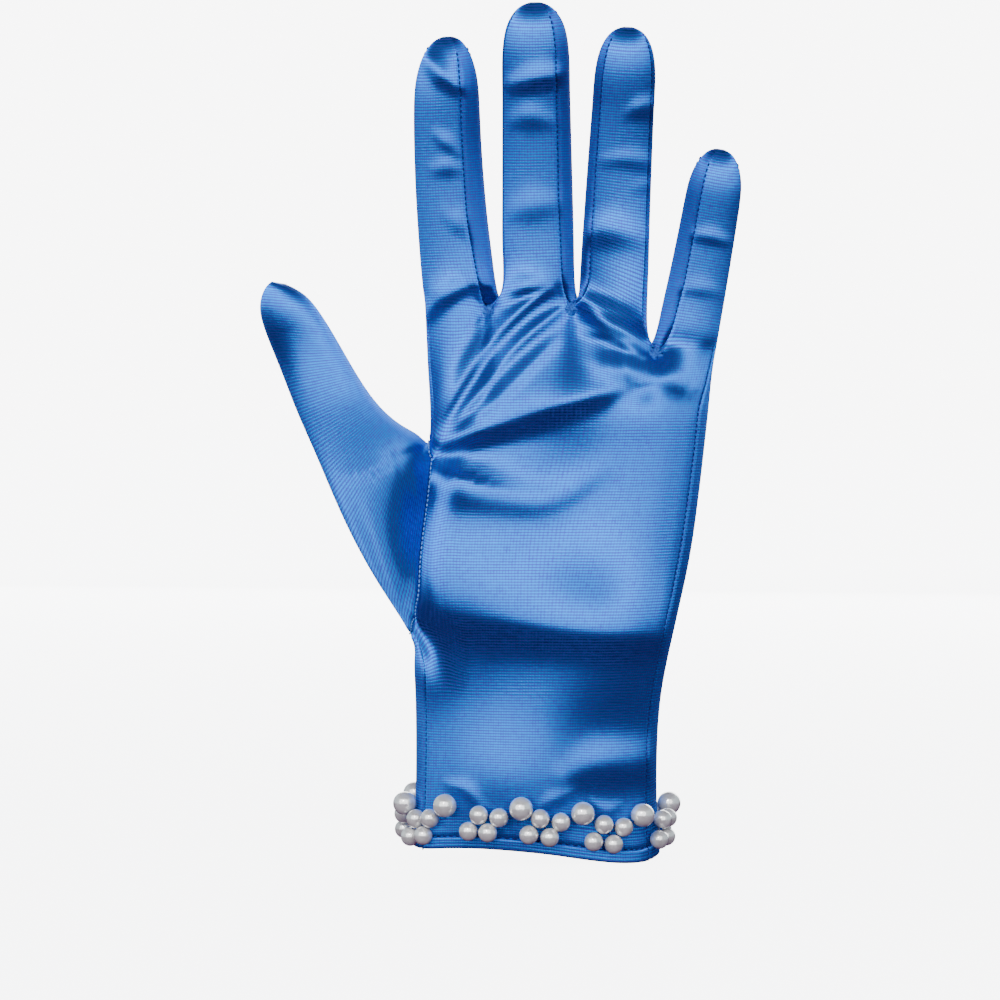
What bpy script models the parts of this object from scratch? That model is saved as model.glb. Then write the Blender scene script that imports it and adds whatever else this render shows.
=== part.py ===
"""Wrist length dress glove with pearl clusters, in its worn form, for a left hand.

All sizes are in millimetres. The palm faces -Y, the little finger is at +X, the fingers point to +Z.
The origin is the middle of the wrist opening, at the height of its lowest point. The whole glove is
worked out as one surface of quads, which is then cut along its seams into panels, and each panel gets
the thickness of its cloth.
"""

import math

import bmesh
import bpy
from mathutils import Matrix, Vector

MM = 0.001

# Cloth
CLOTH_THICKNESS = 1.0  # knitted satin with its backing
SEAM_GAP = 0.3  # clearance between two panels that are sewn together

# Hand in the glove
PALM_LENGTH = 146.8  # wrist opening to the base of the middle finger
WRIST_WIDTH = 64.0
WRIST_DEPTH = 41.5
PALM_DEPTH = 35.0
KNUCKLE_DEPTH = 25.0

# Fingers
INDEX_LENGTH = 70.3
MIDDLE_LENGTH = 78.0
RING_LENGTH = 71.6
LITTLE_LENGTH = 52.5
INDEX_WIDTH = 19.4
MIDDLE_WIDTH = 19.4
RING_WIDTH = 18.4
LITTLE_WIDTH = 16.3
INDEX_GAP = 0.9  # between the bases of index and middle finger
MIDDLE_GAP = 0.7
RING_GAP = 1.55
WEB_LIFT = 1.5  # the middle of a web is this much higher than its ends

# Thumb
THUMB_HOLE_LENGTH = 51.0
THUMB_REACH = 43.7  # sideways from the crotch to the outermost point
THUMB_RISE = 41.4  # height of the tip above the crotch
THUMB_FORWARD = 15.4  # how far the tip lies before the middle of the palm
THUMB_DEPTH = 18.0

# Hem and cuff
HEM_HEIGHT = 3.6
HEM_STEP = 0.3  # half the height over which the hem's second layer ends
HEM_RISE = 1.9  # the wrist edge is this much higher at the thumb side than in the middle
HEM_WAVE = 1.1  # waviness of the wrist edge
RIPPLE_DEPTH = 0.5  # depth of the soft upright folds of the cuff
KNUCKLE_SWELL = 0.8  # the front swells this much under the finger bases

# Pearls
BIG_PEARL_DIAMETER = 6.2
PEARL_DIAMETER = 5.0
THREAD_WIDTH = 0.8
PEARL_GAP = 0.3  # clearance between a pearl and the cloth
PEARL_LINE_HEIGHT = 12.6  # height of the big pearls above the wrist edge
# Places of a cluster's small pearls beside and below the first of them, in the order in which the thread
# runs, as shares of a small pearl's diameter
CLUSTER = ((0.0, 0.0), (-1.08, 0.1), (-0.6, -0.9), (-1.68, -0.86))
# Place of the first small pearl beside and below the big one, as shares of their mean diameter
FIRST_PEARL = (-1.0, -0.536)
CLUSTER_ROOM = 3.3  # least distance of two clusters along the row, as a share of a small pearl's diameter
# Each cluster's shift from its even place, as a share of the room that is left, and its tilt in degrees
CLUSTER_SHIFTS = (
    (1.383, 8), (0.716, 8), (-0.696, 8), (0.0, 0), (-0.909, 0),
    (-2.028, 0), (-0.557, 0), (-0.801, 2), (-0.436, 0), (0.813, -2),
)
FIRST_CLUSTER_COLUMN = 34.08  # where the first cluster is, in columns of the grid

# Grid: quads across the front of a finger and of a side strip, rows of the thumb hole and finger bases
FRONT_COUNT = 4
SIDE_COUNT = 2
HOLE_COUNT = 6
BASE_COUNT = 3
PEARL_SIDE_COUNT = 10
PEARL_RING_COUNT = 5
FINGER_ROWS = (0.07, 0.18, 0.31, 0.45, 0.59, 0.72, 0.83, 0.915, 0.97, 0.994)  # shares of a finger's length
CUFF_ROWS = (0.17, 0.306, 0.442, 0.595, 0.748, 0.884)  # shares of the height of the thumb hole's lower end
HOLE_COLUMNS = (33, 34, 35, 0, 1)
HOLE_HALF_COLUMNS = 1.5  # half the thumb hole's width, in columns of the grid
SEAM_SHIFT_COLUMNS = -0.4  # above the hole the seam lies this many columns nearer to the side
EDGE_SHARE = 0.906  # the palm panel's share of the palm's width
WEDGE_DEGREES = 57.0  # the front of a finger reaches this many degrees to each side

# What the sizes make together
HAND_WIDTH = INDEX_WIDTH + INDEX_GAP + MIDDLE_WIDTH + MIDDLE_GAP + RING_WIDTH + RING_GAP + LITTLE_WIDTH
HAND_LEFT = -0.385 * HAND_WIDTH
CROTCH_HEIGHT = 0.748 * PALM_LENGTH
HOLE_BOTTOM = CROTCH_HEIGHT - THUMB_HOLE_LENGTH
LAST_SECTION = 0.804 * PALM_LENGTH  # above it the palm runs into the finger bases
CUFF_FADE = 0.3 * PALM_LENGTH  # the cuff's ripples and the tilt of its edge fade out up to here

# Cross-sections of palm and wrist. Height as a share of PALM_LENGTH, the width that the section follows,
# its left and right end as shares of that, the depth that it follows, the middle's place and the depth as
# shares of that, squareness.
SECTIONS = (
    (-0.015, WRIST_WIDTH, -0.509, 0.505, WRIST_DEPTH, 0.0, 1.036, 2.1),
    (0.121, WRIST_WIDTH, -0.502, 0.495, WRIST_DEPTH, 0.0, 1.0, 2.1),
    (0.257, WRIST_WIDTH, -0.502, 0.505, WRIST_DEPTH, 0.0, 0.952, 2.1),
    (0.326, WRIST_WIDTH, -0.506, 0.527, WRIST_DEPTH, 0.0, 0.93, 2.15),
    (0.387, HAND_WIDTH, -0.433, 0.464, PALM_DEPTH, 0.0, 1.083, 2.2),
    (0.435, HAND_WIDTH, -0.446, 0.485, PALM_DEPTH, 0.006, 1.057, 2.2),
    (0.544, HAND_WIDTH, -0.459, 0.53, PALM_DEPTH, 0.014, 1.0, 2.3),
    (0.653, HAND_WIDTH, -0.425, 0.56, PALM_DEPTH, 0.014, 0.929, 2.4),
    (0.748, HAND_WIDTH, -0.373, 0.581, KNUCKLE_DEPTH, 0.012, 1.2, 2.5),
    (0.816, HAND_WIDTH, -0.371, 0.595, KNUCKLE_DEPTH, 0.0, 1.12, 2.5),
    (0.898, HAND_WIDTH, -0.374, 0.608, KNUCKLE_DEPTH, 0.0, 1.0, 2.5),
)

# Fingers: length, width, height of the base as a share of PALM_LENGTH, lean in degrees, sideways bow as a
# share of the length, width before the tip and length of the rounded end as shares of the width, roll in
# degrees, and how far the tip is bent towards the palm as a share of the length
FINGERS = (
    (INDEX_LENGTH, INDEX_WIDTH, 0.993, -3.1, -0.0213, 0.856, 0.928, -30.0, 0.1),
    (MIDDLE_LENGTH, MIDDLE_WIDTH, 1.0, -0.73, 0.0, 0.887, 0.747, -19.0, 0.115),
    (RING_LENGTH, RING_WIDTH, 1.0, 3.04, -0.003, 0.848, 0.734, 7.0, 0.126),
    (LITTLE_LENGTH, LITTLE_WIDTH, 0.918, 10.2, 0.008, 0.859, 0.828, 28.0, 0.114),
)
GAPS = (INDEX_GAP, MIDDLE_GAP, RING_GAP)
FINGER_DEPTH_SHARE = 0.9  # depth of a finger as a share of its width at the base
TIP_DEPTH_SHARE = 0.8  # and before the tip
TIP_POWER = 2.3
BASE_ROLL_SHARE = 0.65  # share of its roll that a finger has at its base
# Webs between the fingers: the knot in front, the middle and the back end as shares of the fingers' mean
# width beside the middle of the gap, and the height of the knot as a share of PALM_LENGTH
WEBS = ((-0.168, -0.028, 0.064, 0.986), (-0.071, 0.003, 0.04, 0.993), (0.065, -0.01, -0.045, 0.911))
WEB_SHARE = 0.5  # depth of a web as a share of the finger's depth

# Thumb, from its hole to its tip: outer side outwards as a share of THUMB_REACH and upwards as a share of
# the height from the hole's lower end to the tip, inner side outwards as a share of THUMB_REACH and
# upwards from the crotch as a share of THUMB_RISE, the middle's place as a share of THUMB_FORWARD, and
# the depth as a share of THUMB_DEPTH
THUMB = (
    (0.311, 0.154, 0.053, 0.034, 0.227, 1.722),
    (0.508, 0.332, 0.156, 0.099, 0.357, 1.444),
    (0.659, 0.5, 0.272, 0.203, 0.487, 1.222),
    (0.783, 0.634, 0.375, 0.341, 0.617, 1.083),
    (0.881, 0.754, 0.469, 0.502, 0.747, 1.0),
    (0.966, 0.856, 0.554, 0.659, 0.844, 0.933),
    (1.0, 0.929, 0.643, 0.812, 0.922, 0.811),
    (0.97, 0.981, 0.737, 0.928, 0.974, 0.556),
    (0.931, 1.0, 0.833, 0.983, 1.0, 0.25),
)

# Swellings of the front: x as a share of HAND_WIDTH, z of PALM_LENGTH, reach in x and z as shares of
# the same sizes, height as a share of PALM_DEPTH
MOUNDS = (
    (-0.248, 0.571, 0.222, 0.177, 0.157),
    (0.352, 0.489, 0.196, 0.218, 0.074),
    (0.104, 0.659, 0.183, 0.136, -0.086),
    (-0.052, 0.387, 0.339, 0.061, -0.063),
    (0.026, 0.857, 0.574, 0.061, 0.046),
)
# Folds of the front: start and end, x as a share of HAND_WIDTH and z of PALM_LENGTH, half width as a
# share of PALM_LENGTH, height as a share of PALM_DEPTH
FOLDS = (
    (-0.352, 0.748, 0.104, 0.966, 0.041, -0.046),
    (-0.352, 0.721, 0.352, 0.843, 0.044, -0.046),
    (-0.313, 0.693, 0.183, 0.707, 0.041, 0.037),
    (-0.352, 0.789, -0.117, 0.952, 0.034, 0.034),
    (0.117, 0.952, 0.417, 0.857, 0.034, -0.029),
    (-0.391, 0.407, 0.391, 0.339, 0.048, -0.046),
    (0.209, 0.257, 0.183, 0.108, 0.041, -0.034),
    (-0.104, 0.23, 0.052, 0.121, 0.041, 0.026),
)

AROUND = 8 * FRONT_COUNT + 2 * SIDE_COUNT  # points of a ring of the palm
HALF = 4 * FRONT_COUNT
BLUE = (0.035, 0.13, 0.42, 1.0)
WHITE = (0.82, 0.82, 0.80, 1.0)


def at_height(z):
    """Left, right, middle, depth and squareness of the palm at a height, on smooth curves through its rows."""
    table = [
        (share * PALM_LENGTH, left * width, right * width, middle * deep, depth * deep, square)
        for share, width, left, right, deep, middle, depth, square in SECTIONS
    ]
    k = 0
    while k < len(table) - 2 and z > table[k + 1][0]:
        k += 1
    a, b = table[k], table[k + 1]
    before, after = table[max(k - 1, 0)], table[min(k + 2, len(table) - 1)]
    h = b[0] - a[0]
    t = min(max((z - a[0]) / h, 0.0), 1.0)
    out = []
    for i in range(1, len(a)):
        slope_a = (b[i] - before[i]) / (b[0] - before[0]) * h
        slope_b = (after[i] - a[i]) / (after[0] - a[0]) * h
        out.append(
            (2 * t**3 - 3 * t**2 + 1) * a[i]
            + (t**3 - 2 * t**2 + t) * slope_a
            + (3 * t**2 - 2 * t**3) * b[i]
            + (t**3 - t**2) * slope_b
        )
    return out


def direction(q):
    """The angle from the middle of the palm that belongs to a place along the ring, in radians."""
    q %= AROUND
    edge = math.asin(EDGE_SHARE)
    side = (math.pi / 2 - edge) / (SIDE_COUNT / 2)
    if q <= HALF:
        return math.asin(EDGE_SHARE * (q / (HALF / 2) - 1))
    if q <= HALF + SIDE_COUNT:
        return edge + side * (q - HALF)
    if q <= AROUND - SIDE_COUNT:
        return math.pi - math.asin(EDGE_SHARE * (1 - (q - HALF - SIDE_COUNT) / (HALF / 2)))
    return 2 * math.pi - edge - side * (AROUND - q)


def swelling(x, z):
    """How far the front stands out at a place because of mounds and folds."""
    out = 0.0
    for mx, mz, rx, rz, height in MOUNDS:
        away_x, away_z = (x / HAND_WIDTH - mx) / rx, (z / PALM_LENGTH - mz) / rz
        out += height * PALM_DEPTH * math.exp(-(away_x**2) - away_z**2)
    for x0, z0, x1, z1, half, height in FOLDS:
        start = Vector((x0 * HAND_WIDTH, z0 * PALM_LENGTH))
        d = Vector((x1 * HAND_WIDTH, z1 * PALM_LENGTH)) - start
        p = Vector((x, z)) - start
        t = min(max(p.dot(d) / d.length_squared, 0.0), 1.0)
        away = (p - d * t).length / (half * PALM_LENGTH)
        out += height * PALM_DEPTH * math.exp(-away * away)
    return out


def edge_wave(a):
    return HEM_WAVE * math.cos(3 * a + math.pi / 4) - HEM_RISE * math.sin(a)


LOWEST = min(edge_wave(math.radians(a)) for a in range(360))


def palm_point(q, z):
    """A point of the wrist and palm, a tube without its thumb."""
    left, right, middle, depth, square = at_height(z)
    a = direction(q)
    s, c = math.sin(a), math.cos(a)
    fade = max(0.0, 1 - z / CUFF_FADE)
    ripple = RIPPLE_DEPTH * math.cos(6 * a + 1.5) * fade
    x = (left + right) / 2 + ((right - left) / 2 + ripple) * math.copysign(abs(s) ** (2 / square), s)
    y = middle - (depth / 2 + ripple) * math.copysign(abs(c) ** (2 / square), c)
    y -= swelling(x, z) * min(max(2.2 * c, 0.0), 1.0)
    return Vector((x, y, z + (edge_wave(a) - LOWEST) * fade))


def finger_base(k):
    """The middle of a finger's base: the fingers stand side by side from the left with their gaps."""
    x = HAND_LEFT + sum(FINGERS[i][1] + GAPS[i] for i in range(k)) + FINGERS[k][1] / 2
    return Vector((x, 0, FINGERS[k][2] * PALM_LENGTH))


def web_places(k):
    """The knot in front of a web, its middle and its back end, without their depth."""
    beside, after = FINGERS[k][1], FINGERS[k + 1][1]
    x = finger_base(k).x + (beside + GAPS[k]) / 2
    front, gap, back, height = WEBS[k]
    return [Vector((x + share * (beside + after) / 2, 0, height * PALM_LENGTH)) for share in (front, gap, back)]


def finger_point(k, t, degrees):
    """A point of a finger at a share of its length, at an angle from the middle of its front."""
    length, width, height, lean, bow, taper, rounded, roll, bend = FINGERS[k]
    base = finger_base(k)
    a = math.radians(degrees + roll * (BASE_ROLL_SHARE + (1 - BASE_ROLL_SHARE) * min(1.0, t / 0.3)))
    slope = [web_places(k - 1)[0].z - base.z if k else 0.0, web_places(k)[0].z - base.z if k < 3 else 0.0]
    side = (1 + math.sin(a)) / 2
    t += (slope[0] * (1 - side) + slope[1] * side) / length * max(0.0, 1 - t) ** 4 if t else 0.0
    lean = Vector((math.sin(math.radians(lean)), 0, math.cos(math.radians(lean))))
    across = Vector((lean.z, 0, -lean.x))
    middle = base + lean * (length * t)
    middle += across * (4 * bow * length * t * (1 - t)) - Vector((0, bend * length * t * t, 0))
    half = width * (1 + (taper - 1) * t) / 2
    depth = half * (FINGER_DEPTH_SHARE + (TIP_DEPTH_SHARE - FINGER_DEPTH_SHARE) * t)
    round_length = rounded * width
    past = max(0.0, (length * (t - 1) + round_length) / round_length)
    close = (1 - past**TIP_POWER) ** (1 / TIP_POWER)
    front = (Vector((0, -1, 0)) - lean * (2 * bend * t)).normalized()
    return middle + across * (half * close * math.sin(a)) + front * (depth * close**1.25 * math.cos(a))


class Surface:
    """Points of the glove's outside, its faces, and the panel that each face belongs to."""

    def __init__(self):
        self.points, self.faces, self.panels = [], [], []
        self.double = set()  # points where the hem doubles the cloth
        self.outward = {}  # the way out at the webs, where it can't be told from the faces

    def point(self, p):
        self.points.append(Vector(p))
        return len(self.points) - 1

    def face(self, panel, *corners):
        self.faces.append(corners)
        self.panels.append(panel)

    def band(self, low, high, names):
        n = len(low)
        for i in range(n):
            j = (i + 1) % n
            self.face(names[i], low[i], low[j], high[j], high[i])

    def tip(self, ring):
        """At a fingertip the way out is half sideways and half along the finger."""
        corners = [self.points[v] for v in ring]
        c = sum(corners, Vector()) / len(ring)
        pairs = zip(corners, corners[1:] + corners[:1])
        along = sum(((a - c).cross(b - c) for a, b in pairs), Vector()).normalized()
        for v, p in zip(ring, corners):
            self.outward[v] = (p - c).normalized() + along


STRIPS = ("fourchette_index_middle", "fourchette_middle_ring", "fourchette_ring_little")


def finger_bases(surface):
    """The ring of points where the palm ends and the fingers start, and the middles of the webs."""
    ring = [None] * AROUND
    starts = []
    for k, sign in ((0, -1), (3, 1)):
        starts.append([finger_point(k, 0, sign * a) for a in (WEDGE_DEGREES, 90, 180 - WEDGE_DEGREES)])
    depth = [f[1] * FINGER_DEPTH_SHARE / 2 for f in FINGERS]
    fronts, backs, webs = [starts[0][0]], [starts[0][2]], []
    for k in range(len(WEBS)):
        y = Vector((0, (depth[k] + depth[k + 1]) / 2 * WEB_SHARE, 0))
        front, gap, back = web_places(k)
        fronts.append(front - y)
        backs.append(back + y)
        webs.append(gap + Vector((0, 0, WEB_LIFT)))
    fronts.append(starts[1][0])
    backs.append(starts[1][2])
    for f in range(4):
        for k in range(FRONT_COUNT + 1):
            t = k / FRONT_COUNT
            lift = 1 - (2 * t - 1) ** 2
            p = fronts[f].lerp(fronts[f + 1], t)
            p.y = p.y * (1 - lift) - depth[f] * lift - swelling(p.x, p.z)
            ring[FRONT_COUNT * f + k] = p
            p = backs[f].lerp(backs[f + 1], t)
            p.y = p.y * (1 - lift) + depth[f] * lift
            ring[AROUND - SIDE_COUNT - FRONT_COUNT * f - k] = p
    ring[HALF + 1] = starts[1][1]
    ring[AROUND - 1] = starts[0][1]
    return ring, webs


def build_surface():
    s = Surface()
    low, high = HOLE_BOTTOM, CROTCH_HEIGHT
    heights = [0.0, HEM_HEIGHT - HEM_STEP, HEM_HEIGHT + HEM_STEP] + [low * share for share in CUFF_ROWS]
    first = len(heights)
    heights += [low + (high - low) * k / HOLE_COUNT for k in range(HOLE_COUNT + 1)] + [LAST_SECTION]
    places = [[(q, z) for q in range(AROUND)] for z in heights]

    # The thumb's hole is an oval on the grid; the points next to its corners follow it.
    middle, reach = (low + high) / 2, (high - low) / 2
    loop = [(first, 35), (first, 0)] + [(first + k, 1) for k in range(HOLE_COUNT + 1)]
    loop += [(first + HOLE_COUNT, 0), (first + HOLE_COUNT, 35), (first + HOLE_COUNT, 34)]
    loop += [(first + k, 33) for k in range(HOLE_COUNT, -1, -1)] + [(first, 34)]
    for k, (row, column) in enumerate(loop):
        turn = 2 * math.pi * k / len(loop)
        places[row][column] = (35 + HOLE_HALF_COLUMNS * math.sin(turn), middle - reach * math.cos(turn))
    for row in places[first + 1 : first + HOLE_COUNT]:
        row[2], row[32] = (1.75, row[2][1]), (32.25, row[32][1])
    for row, column in ((first, 1), (first, 33), (first + HOLE_COUNT, 1), (first + HOLE_COUNT, 33)):
        side = 1 if column == 1 else -1
        up = 1 if row > first else -1
        dq = places[row][column][0] - (35 + HOLE_HALF_COLUMNS * side)
        dz = places[row][column][1] - heights[row]
        for other_row, other_column in ((row + up, column), (row, column + side), (row + up, column + side)):
            q, z = places[other_row][other_column]
            places[other_row][other_column] = (q + 0.4 * dq, z + 0.4 * dz)
    places[-1] = [(q + SEAM_SHIFT_COLUMNS * max(0.0, 1 - min(q, AROUND - q) / 4), z) for q, z in places[-1]]

    rings = [[palm_point(q, z) for q, z in row] for row in places]
    bases, webs = finger_bases(s)
    for k in range(1, BASE_COUNT):
        t = k / BASE_COUNT
        row = [a.lerp(b, t) for a, b in zip(rings[len(heights) - 1], bases)]
        for q in range(HALF + 1):
            row[q].y -= KNUCKLE_SWELL * math.sin(math.pi * t)
        rings.append(row)
    rings.append(bases)
    ids = [[s.point(p) for p in row] for row in rings]
    for row in ids[:2]:
        s.double.update(row)
    web_ids = [s.point(p) for p in webs]
    for k, middle in enumerate(web_ids):
        s.outward[middle] = Vector((0, 0, 1))
        s.outward[ids[-1][FRONT_COUNT * (k + 1)]] = Vector((0, -0.75, 0.66))
        s.outward[ids[-1][AROUND - SIDE_COUNT - FRONT_COUNT * (k + 1)]] = Vector((0, 0.75, 0.66))

    names = ["palm_panel"] * HALF + ["back_panel"] * (AROUND - HALF)
    for r in range(len(ids) - 1):
        for q in range(AROUND):
            if first <= r < first + HOLE_COUNT and q in HOLE_COLUMNS[:-1]:
                continue
            n = (q + 1) % AROUND
            s.face(names[q], ids[r][q], ids[r][n], ids[r + 1][n], ids[r + 1][q])

    steps = [-WEDGE_DEGREES + 2 * WEDGE_DEGREES * k / FRONT_COUNT for k in range(FRONT_COUNT + 1)]
    angles = steps + [90] + [180 + a for a in steps] + [270]
    for f in range(len(FINGERS)):
        top = ids[-1]
        right = web_ids[f] if f < 3 else top[HALF + 1]
        left = web_ids[f - 1] if f > 0 else top[AROUND - 1]
        start = HALF + SIDE_COUNT + FRONT_COUNT * (3 - f)
        ring = [top[FRONT_COUNT * f + k] for k in range(FRONT_COUNT + 1)] + [right]
        ring += [top[start + k] for k in range(FRONT_COUNT + 1)] + [left]
        right_name = STRIPS[f] if f < 3 else "back_panel"
        left_name = STRIPS[f - 1] if f > 0 else "back_panel"
        tags = ["palm_panel"] * FRONT_COUNT + [right_name] * SIDE_COUNT
        tags += ["back_panel"] * FRONT_COUNT + [left_name] * SIDE_COUNT
        for t in FINGER_ROWS:
            above = [s.point(finger_point(f, t, a)) for a in angles]
            s.band(ring, above, tags)
            ring = above
        s.tip(ring)
        for k in range(FRONT_COUNT):
            s.face("back_panel", ring[k], ring[k + 1], ring[9 - k], ring[10 - k])
        s.face("back_panel", ring[4], ring[5], ring[6])
        s.face("back_panel", ring[10], ring[11], ring[0])

    for column, way in ((34, (-0.3, 0.55, 0.78)), (35, (-0.35, 0, 0.94)), (0, (-0.3, -0.55, 0.78))):
        s.outward[ids[first + HOLE_COUNT][column]] = Vector(way)
    ring = [ids[row][column] for row, column in loop]
    crotch = at_height(CROTCH_HEIGHT)[0]
    for outer_x, outer_z, inner_x, inner_z, forward, deep in THUMB:
        y, depth = -forward * THUMB_FORWARD, deep * THUMB_DEPTH
        outer = Vector((crotch - outer_x * THUMB_REACH, y, low + outer_z * (high + THUMB_RISE - low)))
        inner = Vector((crotch - inner_x * THUMB_REACH, y, high + inner_z * THUMB_RISE))
        c, arm = (outer + inner) / 2, (outer - inner) / 2
        above = []
        for k in range(len(loop)):
            turn = 2 * math.pi * k / len(loop)
            above.append(s.point(c + arm * math.cos(turn) - Vector((0, depth / 2 * math.sin(turn), 0))))
        s.band(ring, above, ["thumb_panel"] * len(loop))
        ring = above
    s.tip(ring)
    n = len(loop)
    s.face("thumb_panel", ring[0], ring[1], ring[n - 1])
    for k in range(1, n // 2 - 1):
        s.face("thumb_panel", ring[k], ring[k + 1], ring[n - k - 1], ring[n - k])
    s.face("thumb_panel", ring[n // 2 - 1], ring[n // 2], ring[n // 2 + 1])
    return s


def face_normal(points, corners):
    n = Vector((0, 0, 0))
    for k, a in enumerate(corners):
        n += points[a].cross(points[corners[(k + 1) % len(corners)]])
    return n / 2


def panel_mesh(s, name, normals, outline):
    """The points and faces of one panel: its outside, its inside one wall further in, and its rims."""
    faces = [f for f, p in zip(s.faces, s.panels) if p == name]
    used = sorted({v for f in faces for v in f})
    edges = {}
    for f in faces:
        n = face_normal(s.points, f).normalized()
        for k, a in enumerate(f):
            edges[(a, f[(k + 1) % len(f)])] = n
    rim = [e for e in edges if (e[1], e[0]) not in edges]
    inward, centres = {}, {}
    for a, b in rim:
        if (a, b) in outline:
            continue
        d = edges[(a, b)].cross(s.points[b] - s.points[a]).normalized()
        for v in (a, b):
            inward.setdefault(v, []).append(d)
    for f in faces:
        c = sum((s.points[v] for v in f), Vector()) / len(f)
        for v in f:
            centres.setdefault(v, []).append((c - s.points[v]).normalized())
    shift = {}
    for v, ds in inward.items():
        total = sum(ds, Vector())
        if total.length < 0.4 * len(ds):
            total = sum(centres[v], Vector())
            total -= normals[v] * total.dot(normals[v])
        shift[v] = total.normalized() * (SEAM_GAP / 2)
    points, outside, inside = [], {}, {}
    for v in used:
        p = s.points[v] + shift.get(v, Vector())
        wall = CLOTH_THICKNESS * (2 if v in s.double else 1)
        outside[v] = len(points)
        points.append(p)
        inside[v] = len(points)
        points.append(p - normals[v] * wall)
    solid = [[outside[v] for v in f] for f in faces]
    solid += [[inside[v] for v in reversed(f)] for f in faces]
    solid += [[outside[b], outside[a], inside[a], inside[b]] for a, b in rim]
    return points, solid


def make_material(name, colour, roughness):
    m = bpy.data.materials.new(name)
    m.use_nodes = True
    shader = m.node_tree.nodes["Principled BSDF"]
    shader.inputs["Base Color"].default_value = colour
    shader.inputs["Roughness"].default_value = roughness
    return m


def make_object(name, points, faces, colour, roughness, place):
    mesh = bpy.data.meshes.new(name)
    mesh.from_pydata([p * MM for p in points], [], faces)
    b = bmesh.new()
    b.from_mesh(mesh)
    bmesh.ops.triangulate(b, faces=b.faces[:])
    b.to_mesh(mesh)
    b.free()
    o = bpy.data.objects.new(name, mesh)
    mesh.materials.append(make_material(name, colour, roughness))
    place.objects.link(o)
    return o


def beside_cuff(q, height, away):
    """The point this far outside the cuff, and the way out."""
    along = palm_point(q + 0.3, height) - palm_point(q - 0.3, height)
    out = Vector((along.y, -along.x, 0)).normalized()
    return palm_point(q, height) + out * away, out


def step_along(q, arc, height, away):
    """The place along the ring that is this far along the row of pearls from another."""
    way, gone = math.copysign(0.05, arc), 0.0
    here = beside_cuff(q, height, away)[0]
    while gone < abs(arc):
        q += way
        there = beside_cuff(q, height, away)[0]
        gone += math.hypot(there.x - here.x, there.y - here.y)
        here = there
    return q


def row_length():
    """The length of the row of pearls round the cuff."""
    away = PEARL_DIAMETER / 2 + PEARL_GAP
    steps = [beside_cuff(q / 10, PEARL_LINE_HEIGHT, away)[0] for q in range(10 * AROUND)]
    return sum(math.hypot(a.x - b.x, a.y - b.y) for a, b in zip(steps, steps[-1:] + steps[:-1]))


def thread_mesh(centres, outs):
    """A thread through all the pearls of a cluster: a square tube along their middles."""
    half = THREAD_WIDTH / 2
    points, faces = [], []
    for k, c in enumerate(centres):
        before, after = centres[max(k - 1, 0)], centres[min(k + 1, len(centres) - 1)]
        along = (after - before).normalized()
        side = along.cross(outs[k]).normalized()
        up = side.cross(along).normalized()
        points += [c + side * (half * i) + up * (half * j) for i, j in ((-1, -1), (1, -1), (1, 1), (-1, 1))]
        if k:
            for i in range(4):
                j = (i + 1) % 4
                faces.append([4 * k - 4 + i, 4 * k - 4 + j, 4 * k + j, 4 * k + i])
    n = len(points)
    faces += [[3, 2, 1, 0], [n - 4, n - 3, n - 2, n - 1]]
    return points, faces


def make_cluster(number, start, tilt, place, hidden):
    c, s = math.cos(math.radians(tilt)), math.sin(math.radians(tilt))
    centres, outs, sizes = [], [], []
    mean = (BIG_PEARL_DIAMETER + PEARL_DIAMETER) / 2
    pearls = [(0.0, 0.0, BIG_PEARL_DIAMETER)]
    for beside, below in CLUSTER:
        beside = FIRST_PEARL[0] * mean + beside * PEARL_DIAMETER
        below = FIRST_PEARL[1] * mean + below * PEARL_DIAMETER
        pearls.append((beside, below, PEARL_DIAMETER))
    for beside, below, size in pearls:
        height = PEARL_LINE_HEIGHT + beside * s + below * c
        q = step_along(start, beside * c - below * s, height, PEARL_DIAMETER / 2 + PEARL_GAP)
        centre, out = beside_cuff(q, height, size / 2 + PEARL_GAP)
        centres.append(centre)
        outs.append(out)
        sizes.append(size)
    name = f"pearl_cluster_{number:02d}"
    mesh = bpy.data.meshes.new(name)
    b = bmesh.new()
    for c, out, size in zip(centres, outs, sizes):
        place_in = Matrix.Translation(c * MM) @ Vector((0, 0, 1)).rotation_difference(out).to_matrix().to_4x4()
        bmesh.ops.create_uvsphere(
            b, u_segments=PEARL_SIDE_COUNT, v_segments=PEARL_RING_COUNT, radius=size / 2 * MM, matrix=place_in
        )
    b.to_mesh(mesh)
    b.free()
    o = bpy.data.objects.new(name, mesh)
    mesh.materials.append(make_material(name, WHITE, 0.2))
    place.objects.link(o)
    points, faces = thread_mesh(centres, outs)
    thread = make_object(f"thread_{number:02d}", points, faces, WHITE, 0.5, hidden)
    thread.hide_render = True
    join = o.modifiers.new("thread", "BOOLEAN")
    join.operation, join.solver, join.object = "UNION", "EXACT", thread


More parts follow.
